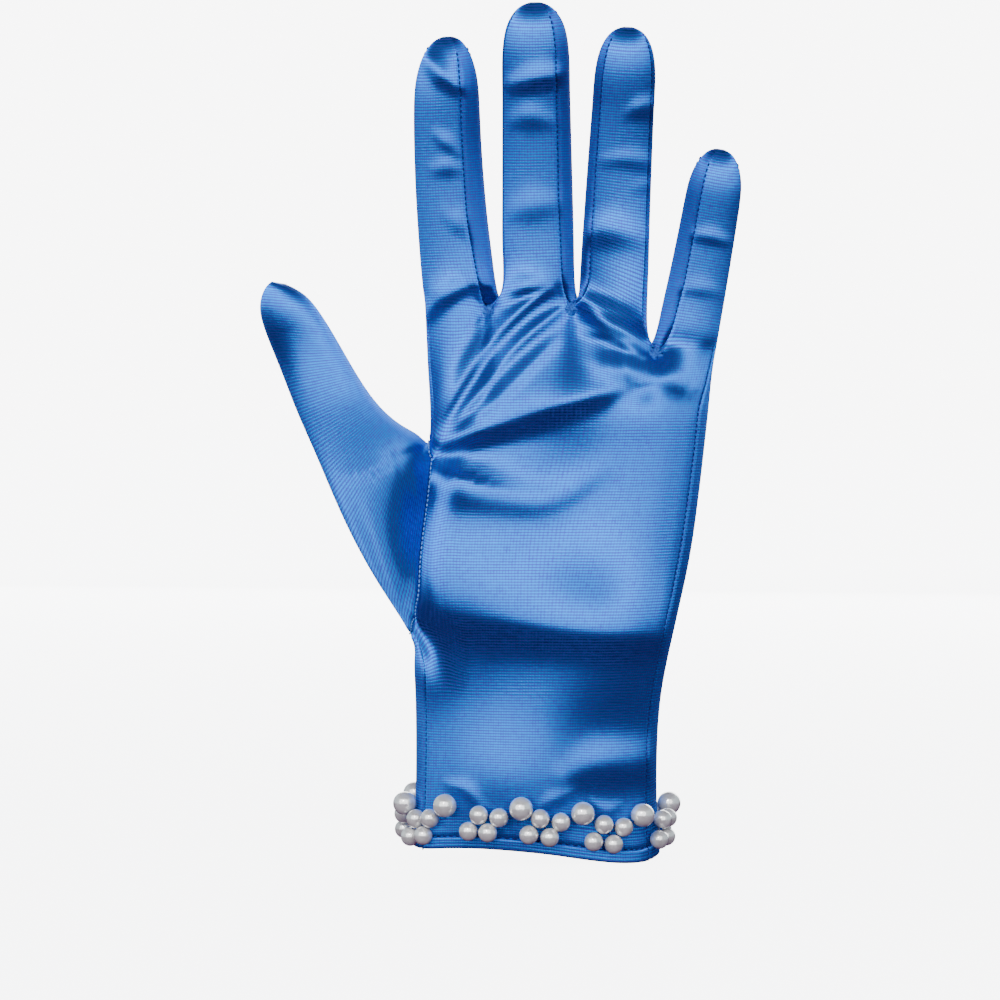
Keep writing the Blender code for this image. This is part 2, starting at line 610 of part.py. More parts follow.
def main():
    for o in list(bpy.data.objects):
        bpy.data.objects.remove(o)
    glove = bpy.data.collections.new("wrist_length_dress_glove")
    threads = bpy.data.collections.new("threads")
    for c in (glove, threads):
        bpy.context.scene.collection.children.link(c)

    s = build_surface()
    normals = [Vector() for p in s.points]
    count = {}
    for f in s.faces:
        n = face_normal(s.points, f)
        for k, a in enumerate(f):
            normals[a] += n
            e = (a, f[(k + 1) % len(f)])
            count[e] = True
    for k, n in enumerate(normals):
        normals[k] = s.outward.get(k, n).normalized()
    outline = {e for e in count if (e[1], e[0]) not in count}
    for name in sorted(set(s.panels)):
        points, faces = panel_mesh(s, name, normals, outline)
        make_object(name, points, faces, BLUE, 0.35, glove)
    even = row_length() / len(CLUSTER_SHIFTS)
    room = even - CLUSTER_ROOM * PEARL_DIAMETER
    for k, (shift, tilt) in enumerate(CLUSTER_SHIFTS):
        arc = k * even + (shift - CLUSTER_SHIFTS[0][0]) * room
        start = step_along(FIRST_CLUSTER_COLUMN, arc, PEARL_LINE_HEIGHT, PEARL_DIAMETER / 2 + PEARL_GAP)
        make_cluster(k + 1, start, tilt, glove, threads)


main()
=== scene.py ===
# %% [markdown]
# # A wrist length dress glove in satin knit, with pearl clusters
#
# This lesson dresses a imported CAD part, a glove in its worn form, so that it looks like the real one.
# The real glove is cut from a smooth, shiny warp knit: a palm, a back, a thumb and three narrow strips
# between the fingers. Worn, the cloth is stretched, so it is one smooth skin with sharp pull folds where
# it is strained. We make that skin as a coarse cage, let a subdivision surface make it smooth, press the
# folds into it, and cut it along its seams at the end.

# %% The frame
import math

import bmesh
import bpy
import numpy as np
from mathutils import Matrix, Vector
from mathutils.kdtree import KDTree


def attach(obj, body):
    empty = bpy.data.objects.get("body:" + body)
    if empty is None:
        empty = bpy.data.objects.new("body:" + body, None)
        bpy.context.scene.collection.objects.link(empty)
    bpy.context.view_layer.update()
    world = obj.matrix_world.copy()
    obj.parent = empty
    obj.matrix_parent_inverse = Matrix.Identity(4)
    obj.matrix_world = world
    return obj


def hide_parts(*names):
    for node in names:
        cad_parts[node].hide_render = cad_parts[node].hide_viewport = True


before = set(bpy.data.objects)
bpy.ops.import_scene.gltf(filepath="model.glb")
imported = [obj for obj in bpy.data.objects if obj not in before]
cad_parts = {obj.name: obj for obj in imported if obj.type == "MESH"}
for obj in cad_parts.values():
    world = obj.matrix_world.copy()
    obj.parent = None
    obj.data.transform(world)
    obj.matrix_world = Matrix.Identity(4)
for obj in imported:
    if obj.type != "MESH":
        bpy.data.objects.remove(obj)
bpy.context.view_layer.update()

# %% [markdown]
# ## Sizes
#
# All tables are in millimetres with the fingers up, the palm towards -Y and the little finger at +X.
# The heights of `SECTIONS` are measured from a base line that is `WRIST` below the lowest point of the
# cuff. All other heights start at that lowest point.

# %% Sizes
MM = 0.001
CLOTH = 0.55  # thickness of the knit with its backing
HEM = 3.6  # height of the turned-in hem
HEM_TILT = 1.9  # the wrist edge is this much higher at the thumb side than in the middle
HEM_WAVE = 1.1  # waviness of the wrist edge
EDGE = 4.7  # mean height of the wrist edge above the base line
WRIST = 2.2  # height of its lowest point above the base line
EDGE_REACH = 40  # height at which the shape of the wrist edge has died out
RIPPLE, RIPPLES, RIPPLE_TURN, RIPPLE_REACH = 0.5, 6, 1.5, 45  # soft ripples round the cuff
SWELL_FADE = 2.2  # how fast the swellings of the palm grow in from its sides

FRONT, SIDE = 4, 2  # columns of the cage across the front of a finger and across a side
AROUND = 8 * FRONT + 2 * SIDE
HALF = 4 * FRONT
EDGE_SHARE = 0.906  # share of the palm's half width where its front ends and the side starts
WEDGE = 57.0  # a finger's front ends this many degrees from its middle
FINGER_ROWS = (0.07, 0.18, 0.31, 0.45, 0.59, 0.72, 0.83, 0.915, 0.965, 0.989, 0.9985)
CUFF_ROWS = (0.0, 3.3, 3.9, 10.0, 18.0, 26.0, 35.0, 44.0, 52.0)
THUMB_HOLE = (58.8, 109.8)  # lowest and highest point of the thumb's hole
HOLE_REACH, HOLE_ROWS = 1.5, 6  # half its width in columns, and its rows
HOLE_PULL, NEAR_HOLE = 0.4, 0.25  # share by which corners beside the hole follow it, and shift of the columns
SEAM_TURN, SEAM_REACH = -0.4, 4  # columns that the index side seam leans, and over which it dies out
LAST_SECTION = 118.0  # from here the palm runs straight to the bases of the fingers
FINGER_START = 145.0  # place on the flat cloth where the fingers start
CAP_HEIGHT = 3  # cloth over the very tip of a finger
BASE_ROWS = 3

# %% [markdown]
# ## Cross-sections
#
# Wrist and palm are a tube. Each row of the table says where the tube ends at the left and the right,
# how deep it is and how square: 2 is an ellipse and more is boxier. A finger is a bowed tapering tube
# with a rounded end, and the thumb grows out of an oval hole at the side.

# %% Tables of the glove's form
# Height, left end, right end, middle in depth, depth, squareness
SECTIONS = (
    (0, -32.6, 32.3, 0.0, 43.0, 2.1),
    (20, -32.1, 31.7, 0.0, 41.5, 2.1),
    (40, -32.1, 32.3, 0.0, 39.5, 2.1),
    (50, -32.4, 33.7, 0.0, 38.6, 2.15),
    (59, -33.2, 35.6, 0.0, 37.9, 2.2),
    (66, -34.2, 37.2, 0.2, 37.0, 2.2),
    (82, -35.2, 40.6, 0.5, 35.0, 2.3),
    (98, -32.6, 42.9, 0.5, 32.5, 2.4),
    (112, -28.6, 44.5, 0.3, 30.0, 2.5),
    (122, -28.4, 45.6, 0.0, 28.0, 2.5),
    (134, -28.7, 46.6, 0.0, 25.0, 2.5),
)
# Base x and z, tip x and z, bow, width at base and tip, rounded length, roll in degrees, bend to the palm
FINGERS = (
    (-19.8, 145.8, -23.6, 216.0, -1.5, 19.4, 16.6, 18.0, -30.0, 7.0),
    (0.5, 146.8, -0.5, 224.8, 0.0, 19.4, 17.2, 14.5, -19.0, 9.0),
    (20.1, 146.8, 23.9, 218.3, -0.2, 18.4, 15.6, 13.5, 7.0, 9.0),
    (39.0, 134.8, 48.3, 186.5, 0.4, 16.3, 14.0, 13.5, 28.0, 6.0),
)
FINGER_DEPTH, TIP_DEPTH, TIP_POWER, TIP_FLATTER, BASE_ROLL = 0.9, 0.8, 2.3, 1.25, 0.65
# Front x, middle x, back x and height of a web
WEBS = ((-12.9, -10.2, -8.4, 144.8), (9.2, 10.6, 11.3, 145.8), (31.2, 29.9, 29.3, 133.8))
WEB_LIFT, WEB_SHARE = 1.5, 0.5
# Outer x and z, inner x and z, y, depth
THUMB = (
    (-42.2, 73.0, -30.9, 111.2, -3.5, 31.0),
    (-50.8, 89.5, -35.4, 113.9, -6.2, 26.0),
    (-57.4, 105.0, -40.5, 118.2, -8.0, 22.0),
    (-62.8, 117.4, -45.0, 123.9, -8.9, 19.5),
    (-67.1, 128.5, -49.1, 130.6, -9.3, 18.0),
    (-70.8, 137.9, -52.8, 137.1, -10.4, 16.8),
    (-72.3, 144.6, -56.7, 143.4, -12.3, 14.6),
    (-71.0, 149.4, -60.8, 148.2, -13.8, 10.0),
    (-69.3, 151.2, -65.0, 150.5, -14.6, 4.5),
)
# Broad swellings of the palm side: x, z, reach in x, reach in z, height
MOUNDS = (
    (-19.0, 84.0, 17.0, 26.0, 4.2),
    (27.0, 72.0, 15.0, 32.0, 2.6),
    (8.0, 97.0, 14.0, 20.0, -2.2),
    (19.0, 52.0, 14.0, 21.0, 3.2),
    (-9.0, 21.0, 15.0, 15.0, 1.6),
)


def swelling(x, z):
    return sum(h * math.exp(-(((x - mx) / rx) ** 2) - ((z - mz) / rz) ** 2) for mx, mz, rx, rz, h in MOUNDS)


def at_height(table, z):
    """The values of a table at a height, on smooth curves through its rows."""
    k = 0
    while k < len(table) - 2 and z > table[k + 1][0]:
        k += 1
    a, b = table[k], table[k + 1]
    before, after = table[max(k - 1, 0)], table[min(k + 2, len(table) - 1)]
    h = b[0] - a[0]
    t = min(max((z - a[0]) / h, 0.0), 1.0)
    out = []
    for i in range(1, len(a)):
        slope_a = (b[i] - before[i]) / (b[0] - before[0]) * h
        slope_b = (after[i] - a[i]) / (after[0] - a[0]) * h
        out.append(
            (2 * t**3 - 3 * t**2 + 1) * a[i] + (t**3 - 2 * t**2 + t) * slope_a
            + (3 * t**2 - 2 * t**3) * b[i] + (t**3 - t**2) * slope_b
        )
    return out


def direction(q):
    """The angle round the tube, from the middle of the palm, of a column of the cage."""
    q %= AROUND
    edge = math.asin(EDGE_SHARE)
    side = (math.pi / 2 - edge) / (SIDE / 2)
    if q <= HALF:
        return math.asin(EDGE_SHARE * (q / (HALF / 2) - 1))
    if q <= HALF + SIDE:
        return edge + side * (q - HALF)
    if q <= AROUND - SIDE:
        return math.pi - math.asin(EDGE_SHARE * (1 - (q - HALF - SIDE) / (HALF / 2)))
    return 2 * math.pi - edge - side * (AROUND - q)


def wrist_edge(a):
    return EDGE - HEM_TILT * math.sin(a) + HEM_WAVE * math.cos(3 * a + math.pi / 4) - WRIST


def palm_point(q, z):
    """A point of the wrist and palm, a tube without its thumb."""
    z += WRIST
    left, right, middle, depth, square = at_height(SECTIONS, z)
    a = direction(q)
    s, c = math.sin(a), math.cos(a)
    ripple = RIPPLE * math.cos(RIPPLES * a + RIPPLE_TURN) * max(0.0, 1 - z / RIPPLE_REACH)
    x = (left + right) / 2 + ((right - left) / 2 + ripple) * math.copysign(abs(s) ** (2 / square), s)
    y = middle - (depth / 2 + ripple) * math.copysign(abs(c) ** (2 / square), c)
    y -= swelling(x, z - WRIST) * min(max(SWELL_FADE * c, 0.0), 1.0)
    z -= WRIST
    return Vector((x, y, z + wrist_edge(a) * max(0.0, 1 - z / EDGE_REACH)))


def finger_point(finger, t, degrees):
    """A point of a finger at a share of its length, at an angle from the middle of its front."""
    x0, z0, x1, z1, bow, width0, width1, rounded, roll, bend = finger
    k = FINGERS.index(finger)
    length = math.hypot(x1 - x0, z1 - z0)
    a = math.radians(degrees + roll * (BASE_ROLL + (1 - BASE_ROLL) * min(1.0, t / 0.3)))
    slope = [WEBS[k - 1][3] - z0 if k else 0.0, WEBS[k][3] - z0 if k < 3 else 0.0]
    side = (1 + math.sin(a)) / 2
    t += (slope[0] * (1 - side) + slope[1] * side) / length * max(0.0, 1 - t) ** 4 if t else 0.0
    lean = Vector((x1 - x0, 0, z1 - z0)) / length
    across = Vector((lean.z, 0, -lean.x))
    middle = Vector((x0, 0, z0)) + lean * (length * t)
    middle += across * (4 * bow * t * (1 - t)) - Vector((0, bend * t * t, 0))
    half = (width0 + (width1 - width0) * t) / 2
    depth = half * (FINGER_DEPTH + (TIP_DEPTH - FINGER_DEPTH) * t)
    past = max(0.0, (length * (t - 1) + rounded) / rounded)
    close = (1 - past**TIP_POWER) ** (1 / TIP_POWER)
    front = Vector((0, -1, 0)) - lean * (2 * bend * t / length)
    inwards = front.normalized() * (depth * close**TIP_FLATTER * math.cos(a))
    return middle + across * (half * close * math.sin(a)) + inwards


# %% [markdown]
# ## The cage
#
# One coarse surface of quads holds the whole glove, and each quad knows its panel. Every corner also
# gets a place on the flat cloth, in millimetres, so the knit's rows and columns later follow the cloth
# and not the room. The cloth's columns run up the palm and on into the fingers.

# %% The cage
PANELS = (
    "palm_panel", "back_panel", "thumb_panel",
    "fourchette_index_middle", "fourchette_middle_ring", "fourchette_ring_little",
)
COLUMN, THUMB_COLUMN = 4.7, 3.6  # width of cloth that a column of the cage stands for
points, quads, quad_panel, quad_cloth = [], [], [], []


def add_point(p):
    points.append(Vector(p))
    return len(points) - 1


def add_quad(panel, corners, cloth):
    quads.append(tuple(corners))
    quad_panel.append(PANELS.index(panel))
    quad_cloth.append(cloth)


def add_band(low, high, names, u, v_low, v_high, wide=COLUMN):
    n = len(low)
    for i in range(n):
        j = (i + 1) % n
        cloth = ((u[i], v_low), (u[i] + wide, v_low), (u[i] + wide, v_high), (u[i], v_high))
        add_quad(names[i], (low[i], low[j], high[j], high[i]), cloth)


def finger_bases():
    """The ring where the palm ends and the fingers start, and the middles of the webs."""
    ring, starts = [None] * AROUND, []
    for k, sign in ((0, -1), (3, 1)):
        f = FINGERS[k]
        starts.append([finger_point(f, 0, sign * a) for a in (WEDGE, 90, 180 - WEDGE)])
    depth = [f[5] * FINGER_DEPTH / 2 for f in FINGERS]
    fronts, backs = [starts[0][0]], [starts[0][2]]
    for k, (front, gap, back, z) in enumerate(WEBS):
        y = (depth[k] + depth[k + 1]) / 2 * WEB_SHARE
        fronts.append(Vector((front, -y, z)))
        backs.append(Vector((back, y, z)))
    fronts.append(starts[1][0])
    backs.append(starts[1][2])
    for f in range(4):
        for k in range(FRONT + 1):
            t = k / FRONT
            lift = 1 - (2 * t - 1) ** 2
            p = fronts[f].lerp(fronts[f + 1], t)
            p.y = p.y * (1 - lift) - depth[f] * lift - swelling(p.x, p.z)
            ring[FRONT * f + k] = p
            p = backs[f].lerp(backs[f + 1], t)
            p.y = p.y * (1 - lift) + depth[f] * lift
            ring[AROUND - SIDE - FRONT * f - k] = p
    ring[HALF + 1] = starts[1][1]
    ring[AROUND - 1] = starts[0][1]
    return ring, [Vector((gap, 0, z + WEB_LIFT)) for front, gap, back, z in WEBS]


low, high = THUMB_HOLE
heights = list(CUFF_ROWS) + [low + (high - low) * k / HOLE_ROWS for k in range(HOLE_ROWS + 1)]
heights.append(LAST_SECTION)
first = len(CUFF_ROWS)
places = [[(q, z) for q in range(AROUND)] for z in heights]
middle, reach = (low + high) / 2, (high - low) / 2
hole = AROUND - 1  # the column through the middle of the thumb's hole
loop = [(first, hole), (first, 0)] + [(first + k, 1) for k in range(HOLE_ROWS + 1)]
loop += [(first + HOLE_ROWS, 0), (first + HOLE_ROWS, hole), (first + HOLE_ROWS, hole - 1)]
loop += [(first + k, hole - 2) for k in range(HOLE_ROWS, -1, -1)] + [(first, hole - 1)]
for k, (row, column) in enumerate(loop):
    turn = 2 * math.pi * k / len(loop)
    places[row][column] = (hole + HOLE_REACH * math.sin(turn), middle - reach * math.cos(turn))
for row in places[first + 1 : first + HOLE_ROWS]:
    row[2], row[hole - 3] = (2 - NEAR_HOLE, row[2][1]), (hole - 3 + NEAR_HOLE, row[hole - 3][1])
for row, column in ((r, c) for r in (first, first + HOLE_ROWS) for c in (1, hole - 2)):
    side, up = (1 if column == 1 else -1), (1 if row > first else -1)
    dq = places[row][column][0] - (hole + HOLE_REACH * side)
    dz = places[row][column][1] - heights[row]
    for r, c in ((row + up, column), (row, column + side), (row + up, column + side)):
        q, z = places[r][c]
        places[r][c] = (q + HOLE_PULL * dq, z + HOLE_PULL * dz)
places[-1] = [(q + SEAM_TURN * max(0.0, 1 - min(q, AROUND - q) / SEAM_REACH), z) for q, z in places[-1]]

rings = [[palm_point(q, z) for q, z in row] for row in places]
bases, webs = finger_bases()
for k in range(1, BASE_ROWS):
    t = k / BASE_ROWS
    rings.append([a.lerp(b, t) for a, b in zip(rings[len(heights) - 1], bases)])
rings.append(bases)
rise = FINGER_START - LAST_SECTION
levels = heights + [LAST_SECTION + rise * k / BASE_ROWS for k in range(1, BASE_ROWS + 1)]
ids = [[add_point(p) for p in row] for row in rings]
web_ids = [add_point(p) for p in webs]

names = ["palm_panel"] * HALF + ["back_panel"] * (AROUND - HALF)
for r in range(len(ids) - 1):
    for q in range(AROUND):
        if first <= r < first + HOLE_ROWS and q in (hole - 2, hole - 1, hole, 0):
            continue
        n = (q + 1) % AROUND
        u, v0, v1 = q * COLUMN, levels[r], levels[r + 1]
        cloth = ((u, v0), (u + COLUMN, v0), (u + COLUMN, v1), (u, v1))
        add_quad(names[q], (ids[r][q], ids[r][n], ids[r + 1][n], ids[r + 1][q]), cloth)

steps = [-WEDGE + 2 * WEDGE * k / FRONT for k in range(FRONT + 1)]
angles = steps + [90] + [180 + a for a in steps] + [270]
STRIPS = PANELS[3:]
for f, finger in enumerate(FINGERS):
    top = ids[-1]
    right = web_ids[f] if f < 3 else top[HALF + 1]
    left = web_ids[f - 1] if f > 0 else top[AROUND - 1]
    start = HALF + SIDE + FRONT * (3 - f)
    ring = [top[FRONT * f + k] for k in range(FRONT + 1)] + [right]
    ring += [top[start + k] for k in range(FRONT + 1)] + [left]
    right_name = STRIPS[f] if f < 3 else "back_panel"
    left_name = STRIPS[f - 1] if f > 0 else "back_panel"
    tags = ["palm_panel"] * FRONT + [right_name] * SIDE + ["back_panel"] * FRONT + [left_name] * SIDE
    columns = [FRONT * f + k for k in range(FRONT)] + [HALF, HALF + 1]
    columns += [start + k for k in range(FRONT)] + [AROUND - 2, AROUND - 1]
    length = math.hypot(finger[2] - finger[0], finger[3] - finger[1])
    below = FINGER_START
    for t in FINGER_ROWS:
        above, level = [add_point(finger_point(finger, t, a)) for a in angles], FINGER_START + t * length
        add_band(ring, above, tags, [c * COLUMN for c in columns], below, level)
        ring, below = above, level
    u = [columns[0] * COLUMN + k * COLUMN for k in range(FRONT + 1)]
    end, cap = 2 * FRONT + 2, below + CAP_HEIGHT  # the last back column, and the far edge of the cap
    for k in range(FRONT):
        cloth = ((u[k], below), (u[k + 1], below), (u[k + 1], cap), (u[k], cap))
        add_quad("back_panel", (ring[k], ring[k + 1], ring[end - 1 - k], ring[end - k]), cloth)
    cloth = ((u[FRONT], below), (u[FRONT] + 2, below + 1), (u[FRONT], cap))
    add_quad("back_panel", (ring[FRONT], ring[FRONT + 1], ring[FRONT + 2]), cloth)
    cloth = ((u[0], cap), (u[0] - 2, below + 1), (u[0], below))
    add_quad("back_panel", (ring[end], ring[end + 1], ring[0]), cloth)

ring = [ids[row][column] for row, column in loop]
n, v = len(loop), 0.0
centre = sum((points[i] for i in ring), Vector()) / n
for ox, oz, ix, iz, y, depth in THUMB:
    outer, inner = Vector((ox, y, oz)), Vector((ix, y, iz))
    c, half = (outer + inner) / 2, (outer - inner) / 2
    above = []
    for k in range(n):
        turn = 2 * math.pi * k / n
        above.append(add_point(c + half * math.cos(turn) - Vector((0, depth / 2 * math.sin(turn), 0))))
    step = (c - centre).length
    u = [k * THUMB_COLUMN for k in range(n)]
    add_band(ring, above, ["thumb_panel"] * n, u, v, v + step, THUMB_COLUMN)
    ring, v, centre = above, v + step, c
flat = [(k * THUMB_COLUMN, v) for k in range(n + 1)]
add_quad("thumb_panel", (ring[0], ring[1], ring[n - 1]), (flat[0], flat[1], flat[1]))
for k in range(1, n // 2 - 1):
    corners = (ring[k], ring[k + 1], ring[n - k - 1], ring[n - k])
    add_quad("thumb_panel", corners, (flat[k], flat[k + 1], flat[k + 1], flat[k]))
add_quad("thumb_panel", (ring[n // 2 - 1], ring[n // 2], ring[n // 2 + 1]), (flat[1], flat[0], flat[2]))
print(len(points), "points and", len(quads), "faces in the cage")

# %% [markdown]
# ## From cage to skin
#
# A subdivision surface makes the cage smooth, but it also shrinks it. So the cage is swollen a little,
# in a few rounds, until the smooth skin runs through the cage's own corners. Three levels give quads
# of about half a millimetre, fine enough for real creases, so the folds are geometry and not bump.

# %% A subdivided skin that runs through the cage's corners
LEVELS, ROUNDS = 3, 4


def cage_object(corners):
    mesh = bpy.data.meshes.new("cage")
    mesh.from_pydata([tuple(c) for c in corners], [], quads)
    mesh.polygons.foreach_set("material_index", quad_panel)
    cloth = mesh.uv_layers.new(name="cloth")
    cloth.data.foreach_set("uv", [x for face in quad_cloth for corner in face for x in corner])
    o = bpy.data.objects.new("cage", mesh)
    bpy.context.scene.collection.objects.link(o)
    smooth = o.modifiers.new("smooth", "SUBSURF")
    smooth.levels = smooth.render_levels = LEVELS
    smooth.uv_smooth = "NONE"
    return o


def skin_of(corners):
    """The subdivided cage as arrays: points, faces, panel of each face, place on the cloth per corner."""
    o = cage_object(corners)
    m = o.evaluated_get(bpy.context.evaluated_depsgraph_get()).to_mesh()
    co, faces = np.empty(3 * len(m.vertices)), np.empty(4 * len(m.polygons), int)
    panel, cloth = np.empty(len(m.polygons), int), np.empty(2 * len(m.loops))
    m.vertices.foreach_get("co", co)
    m.polygons.foreach_get("vertices", faces)
    m.polygons.foreach_get("material_index", panel)
    m.uv_layers["cloth"].data.foreach_get("uv", cloth)
    bpy.data.objects.remove(o)
    return co.reshape(-1, 3), faces.reshape(-1, 4), panel, cloth.reshape(-1, 4, 2)


wanted = np.array([tuple(p) for p in points])
corners = wanted.copy()
for trial in range(ROUNDS):
    skin, faces, panel, cloth = skin_of(corners)
    short = wanted - skin[: len(wanted)]
    print("skin misses its corners by at most", round(float(np.linalg.norm(short, axis=1).max()), 2), "mm")
    if trial < ROUNDS - 1:
        corners += short


# %% Helpers that read the skin
def normals_of(co, squares):
    a, b, c, d = (co[squares[:, k]] for k in range(4))
    n = np.cross(c - a, d - b)
    out = np.zeros_like(co)
    for k in range(4):
        np.add.at(out, squares[:, k], n)
    return out / np.maximum(np.linalg.norm(out, axis=1, keepdims=True), 1e-9)


def smooth_step(x, low, high):
    t = np.clip((x - low) / (high - low), 0.0, 1.0)
    return t * t * (3 - 2 * t)


out = normals_of(skin, faces)
cloth_v = np.zeros(len(skin))
cloth_v[faces.ravel()] = cloth[:, :, 1].ravel()
in_panel = np.zeros((len(PANELS), len(skin)), bool)
for k in range(len(PANELS)):
    in_panel[k, np.unique(faces[panel == k])] = True
seam_point = in_panel.sum(axis=0) > 1
print(len(skin), "points in the skin,", int(seam_point.sum()), "of them on seams")

# %% [markdown]
# ## Folds
#
# Stretched satin shows its form through folds. Each fold is a stroke with a height and a width on
# either side of its crest: narrow on one side and wide on the other gives the sharp dark band with a
# soft light slope above it. The cloth only moves forward or back, so the outline stays as it is.
# Places are measured on the photograph's frame of 1000 by 1000 pixels, which `seen` turns into
# millimetres on the palm side. Each point of a stroke has its own strength.

# %% Folds of the palm side
PIXEL = 0.26024  # millimetres that a pixel covers at the palm


def seen(px, py):
    return (px - 537) * PIXEL, (865 - py) * PIXEL - 0.49


# Height in mm, width above or left of the crest, width below or right of it, points (x, y, strength)
PALM_FOLDS = (
    # pull folds from the thumb crotch to the web between middle and ring finger
    (1.5, 1.7, 1.6, ((431, 440, 0.5), (455, 391, 1), (482, 352, 1), (502, 327, 1), (526, 305, 0.9),
     (551, 289, 0.3))),
    (1.25, 1.5, 1.5, ((451, 425, 0.3), (482, 389, 0.9), (506, 356, 1), (533, 330, 1), (561, 309, 0.7))),
    (0.8, 2.2, 1.8, ((461, 431, 0.2), (498, 397, 0.8), (525, 370, 0.9), (556, 340, 0.4))),
    (0.8, 1.8, 1.2, ((433, 420, 0.3), (456, 376, 0.8), (479, 340, 1), (481, 318, 0.4))),
    # the broad dark band from the crotch over the palm, and the soft one below it
    (1.8, 4.0, 3.0, ((426, 443, 0.9), (445, 440, 1), (466, 434, 0.8), (484, 428, 0.2))),
    (3.0, 14.0, 3.8, ((440, 441, 0.6), (482, 428, 1), (522, 415, 1), (563, 401, 1), (604, 390, 0.8),
     (626, 387, 0.1))),
    (1.9, 6.0, 5.4, ((426, 474, 0.8), (461, 486, 1), (500, 495, 0.8), (540, 500, 0.6), (570, 490, 0.4),
     (604, 468, 0.1))),
    # arc between the webs
    (3.4, 3.6, 3.0, ((582, 299, 0.8), (604, 320, 1), (624, 330, 1), (643, 338, 0.8))),
    (0.6, 1.2, 1.3, ((582, 329, 0.6), (600, 333, 1), (614, 338, 1), (635, 348, 1), (647, 356, 0.6))),
    (0.35, 1.2, 1.1, ((598, 347, 0.3), (612, 344, 0.9), (626, 346, 1), (645, 356, 0.6))),
    (2.8, 6.0, 5.0, ((604, 364, 0.3), (634, 368, 1), (662, 374, 1), (690, 387, 0.3))),
    # over the wrist, and the soft folds of the cuff
    (3.2, 14.0, 6.6, ((402, 592, 0.7), (430, 602, 1), (461, 611, 1), (543, 621, 1), (625, 628, 0.9),
     (668, 632, 0.6))),
    (1.8, 6.0, 6.0, ((566, 776, 0.3), (600, 764, 1), (645, 762, 0.8))),
    (0.6, 2.2, 1.4, ((450, 786, 0.5), (466, 790, 1), (482, 806, 0.4))),
    (0.5, 2.2, 1.5, ((540, 806, 0.4), (556, 797, 1), (574, 790, 0.4))),
    (0.5, 2.0, 1.4, ((590, 800, 0.4), (604, 810, 1), (618, 806, 0.4))),
    # base of the index and middle finger
    (1.5, 4.0, 2.6, ((422, 312, 1), (440, 297, 0.9), (455, 290, 0.8), (468, 285, 0.2))),
    (1.9, 4.5, 2.8, ((498, 287, 1), (520, 286, 0.85), (538, 285, 0.5), (552, 283, 0.15))),
    # index finger
    (1.2, 3.0, 2.2, ((419, 52, 0.7), (430, 62, 1), (441, 74, 1), (455, 85, 0.6))),
    (0.4, 2.0, 1.5, ((436, 134, 0.5), (446, 142, 1), (456, 151, 0.4))),
    (0.4, 2.2, 1.8, ((435, 168, 0.5), (446, 166, 1), (457, 168, 0.4))),
    (0.3, 3.0, 2.2, ((446, 214, 0.4), (458, 222, 1), (466, 232, 0.4))),
    # middle finger
    (1.1, 3.4, 2.0, ((512, 84, 0.6), (532, 80, 1), (548, 77, 1), (560, 73, 0.5))),
    (0.5, 3.0, 2.6, ((513, 118, 0.5), (530, 116, 1), (550, 120, 0.4))),
    (0.45, 3.6, 3.4, ((512, 209, 0.6), (532, 205, 1), (556, 202, 0.5))),
    # ring finger
    (0.8, 2.4, 2.4, ((628, 112, 0.2), (640, 107, 0.8), (656, 103, 1))),
    (0.45, 2.2, 1.8, ((604, 159, 0.4), (628, 158, 0.8), (652, 161, 1))),
    (0.35, 1.4, 1.0, ((634, 186, 0.4), (648, 184, 1))),
    (1.1, 3.6, 4.0, ((590, 231, 0.7), (612, 229, 1), (642, 236, 0.6))),
    (0.8, 2.0, 1.6, ((586, 299, 0.8), (606, 305, 1), (632, 315, 0.4))),
    # little finger
    (0.5, 2.0, 1.4, ((696, 234, 0.5), (712, 236, 1), (728, 240, 0.6))),
    (0.3, 2.4, 1.6, ((682, 288, 0.5), (702, 288, 1), (722, 292, 0.4))),
    # thumb: along its lower and its upper edge, and at its base
    (3.0, 9.0, 4.0, ((268, 340, 0.6), (300, 418, 1), (345, 508, 1), (384, 585, 0.6))),
    (2.0, 3.0, 6.0, ((320, 325, 0.2), (345, 362, 0.6), (368, 392, 1), (394, 420, 1), (420, 440, 0.8))),
    (3.0, 5.0, 12.0, ((400, 466, 0.6), (416, 462, 1), (432, 466, 0.8))),
)
# Few and soft folds of the back, placed as if seen through from the front; all of them are guessed
BACK_FOLDS = (
    (1.5, 8.0, 5.0, ((420, 636, 0.3), (480, 626, 1), (560, 630, 0.9), (655, 648, 0.3))),
    (1.0, 6.0, 4.0, ((424, 700, 0.2), (500, 714, 1), (590, 704, 0.8), (652, 688, 0.2))),
    (0.8, 5.0, 3.5, ((424, 768, 0.3), (470, 760, 0.9), (540, 770, 0.5))),
    (1.1, 3.0, 2.6, ((430, 452, 0.7), (462, 486, 1), (494, 528, 0.8), (520, 580, 0.2))),
    (0.8, 2.6, 2.2, ((430, 480, 0.5), (456, 520, 1), (474, 566, 0.3))),
    (0.5, 2.4, 2.0, ((428, 168, 0.4), (450, 164, 1), (470, 166, 0.4))),
    (0.5, 2.4, 2.0, ((512, 150, 0.4), (537, 145, 1), (562, 148, 0.4))),
    (0.5, 2.4, 2.0, ((600, 160, 0.4), (624, 156, 1), (650, 160, 0.4))),
    (0.4, 2.0, 1.8, ((694, 238, 0.4), (712, 236, 1), (730, 242, 0.4))),
    (0.7, 3.0, 2.4, ((424, 288, 0.5), (450, 276, 1), (476, 280, 0.3))),
    (0.7, 3.0, 2.4, ((500, 280, 0.4), (530, 272, 1), (560, 280, 0.4))),
    (0.7, 3.0, 2.4, ((588, 284, 0.4), (614, 280, 1), (642, 296, 0.4))),
)


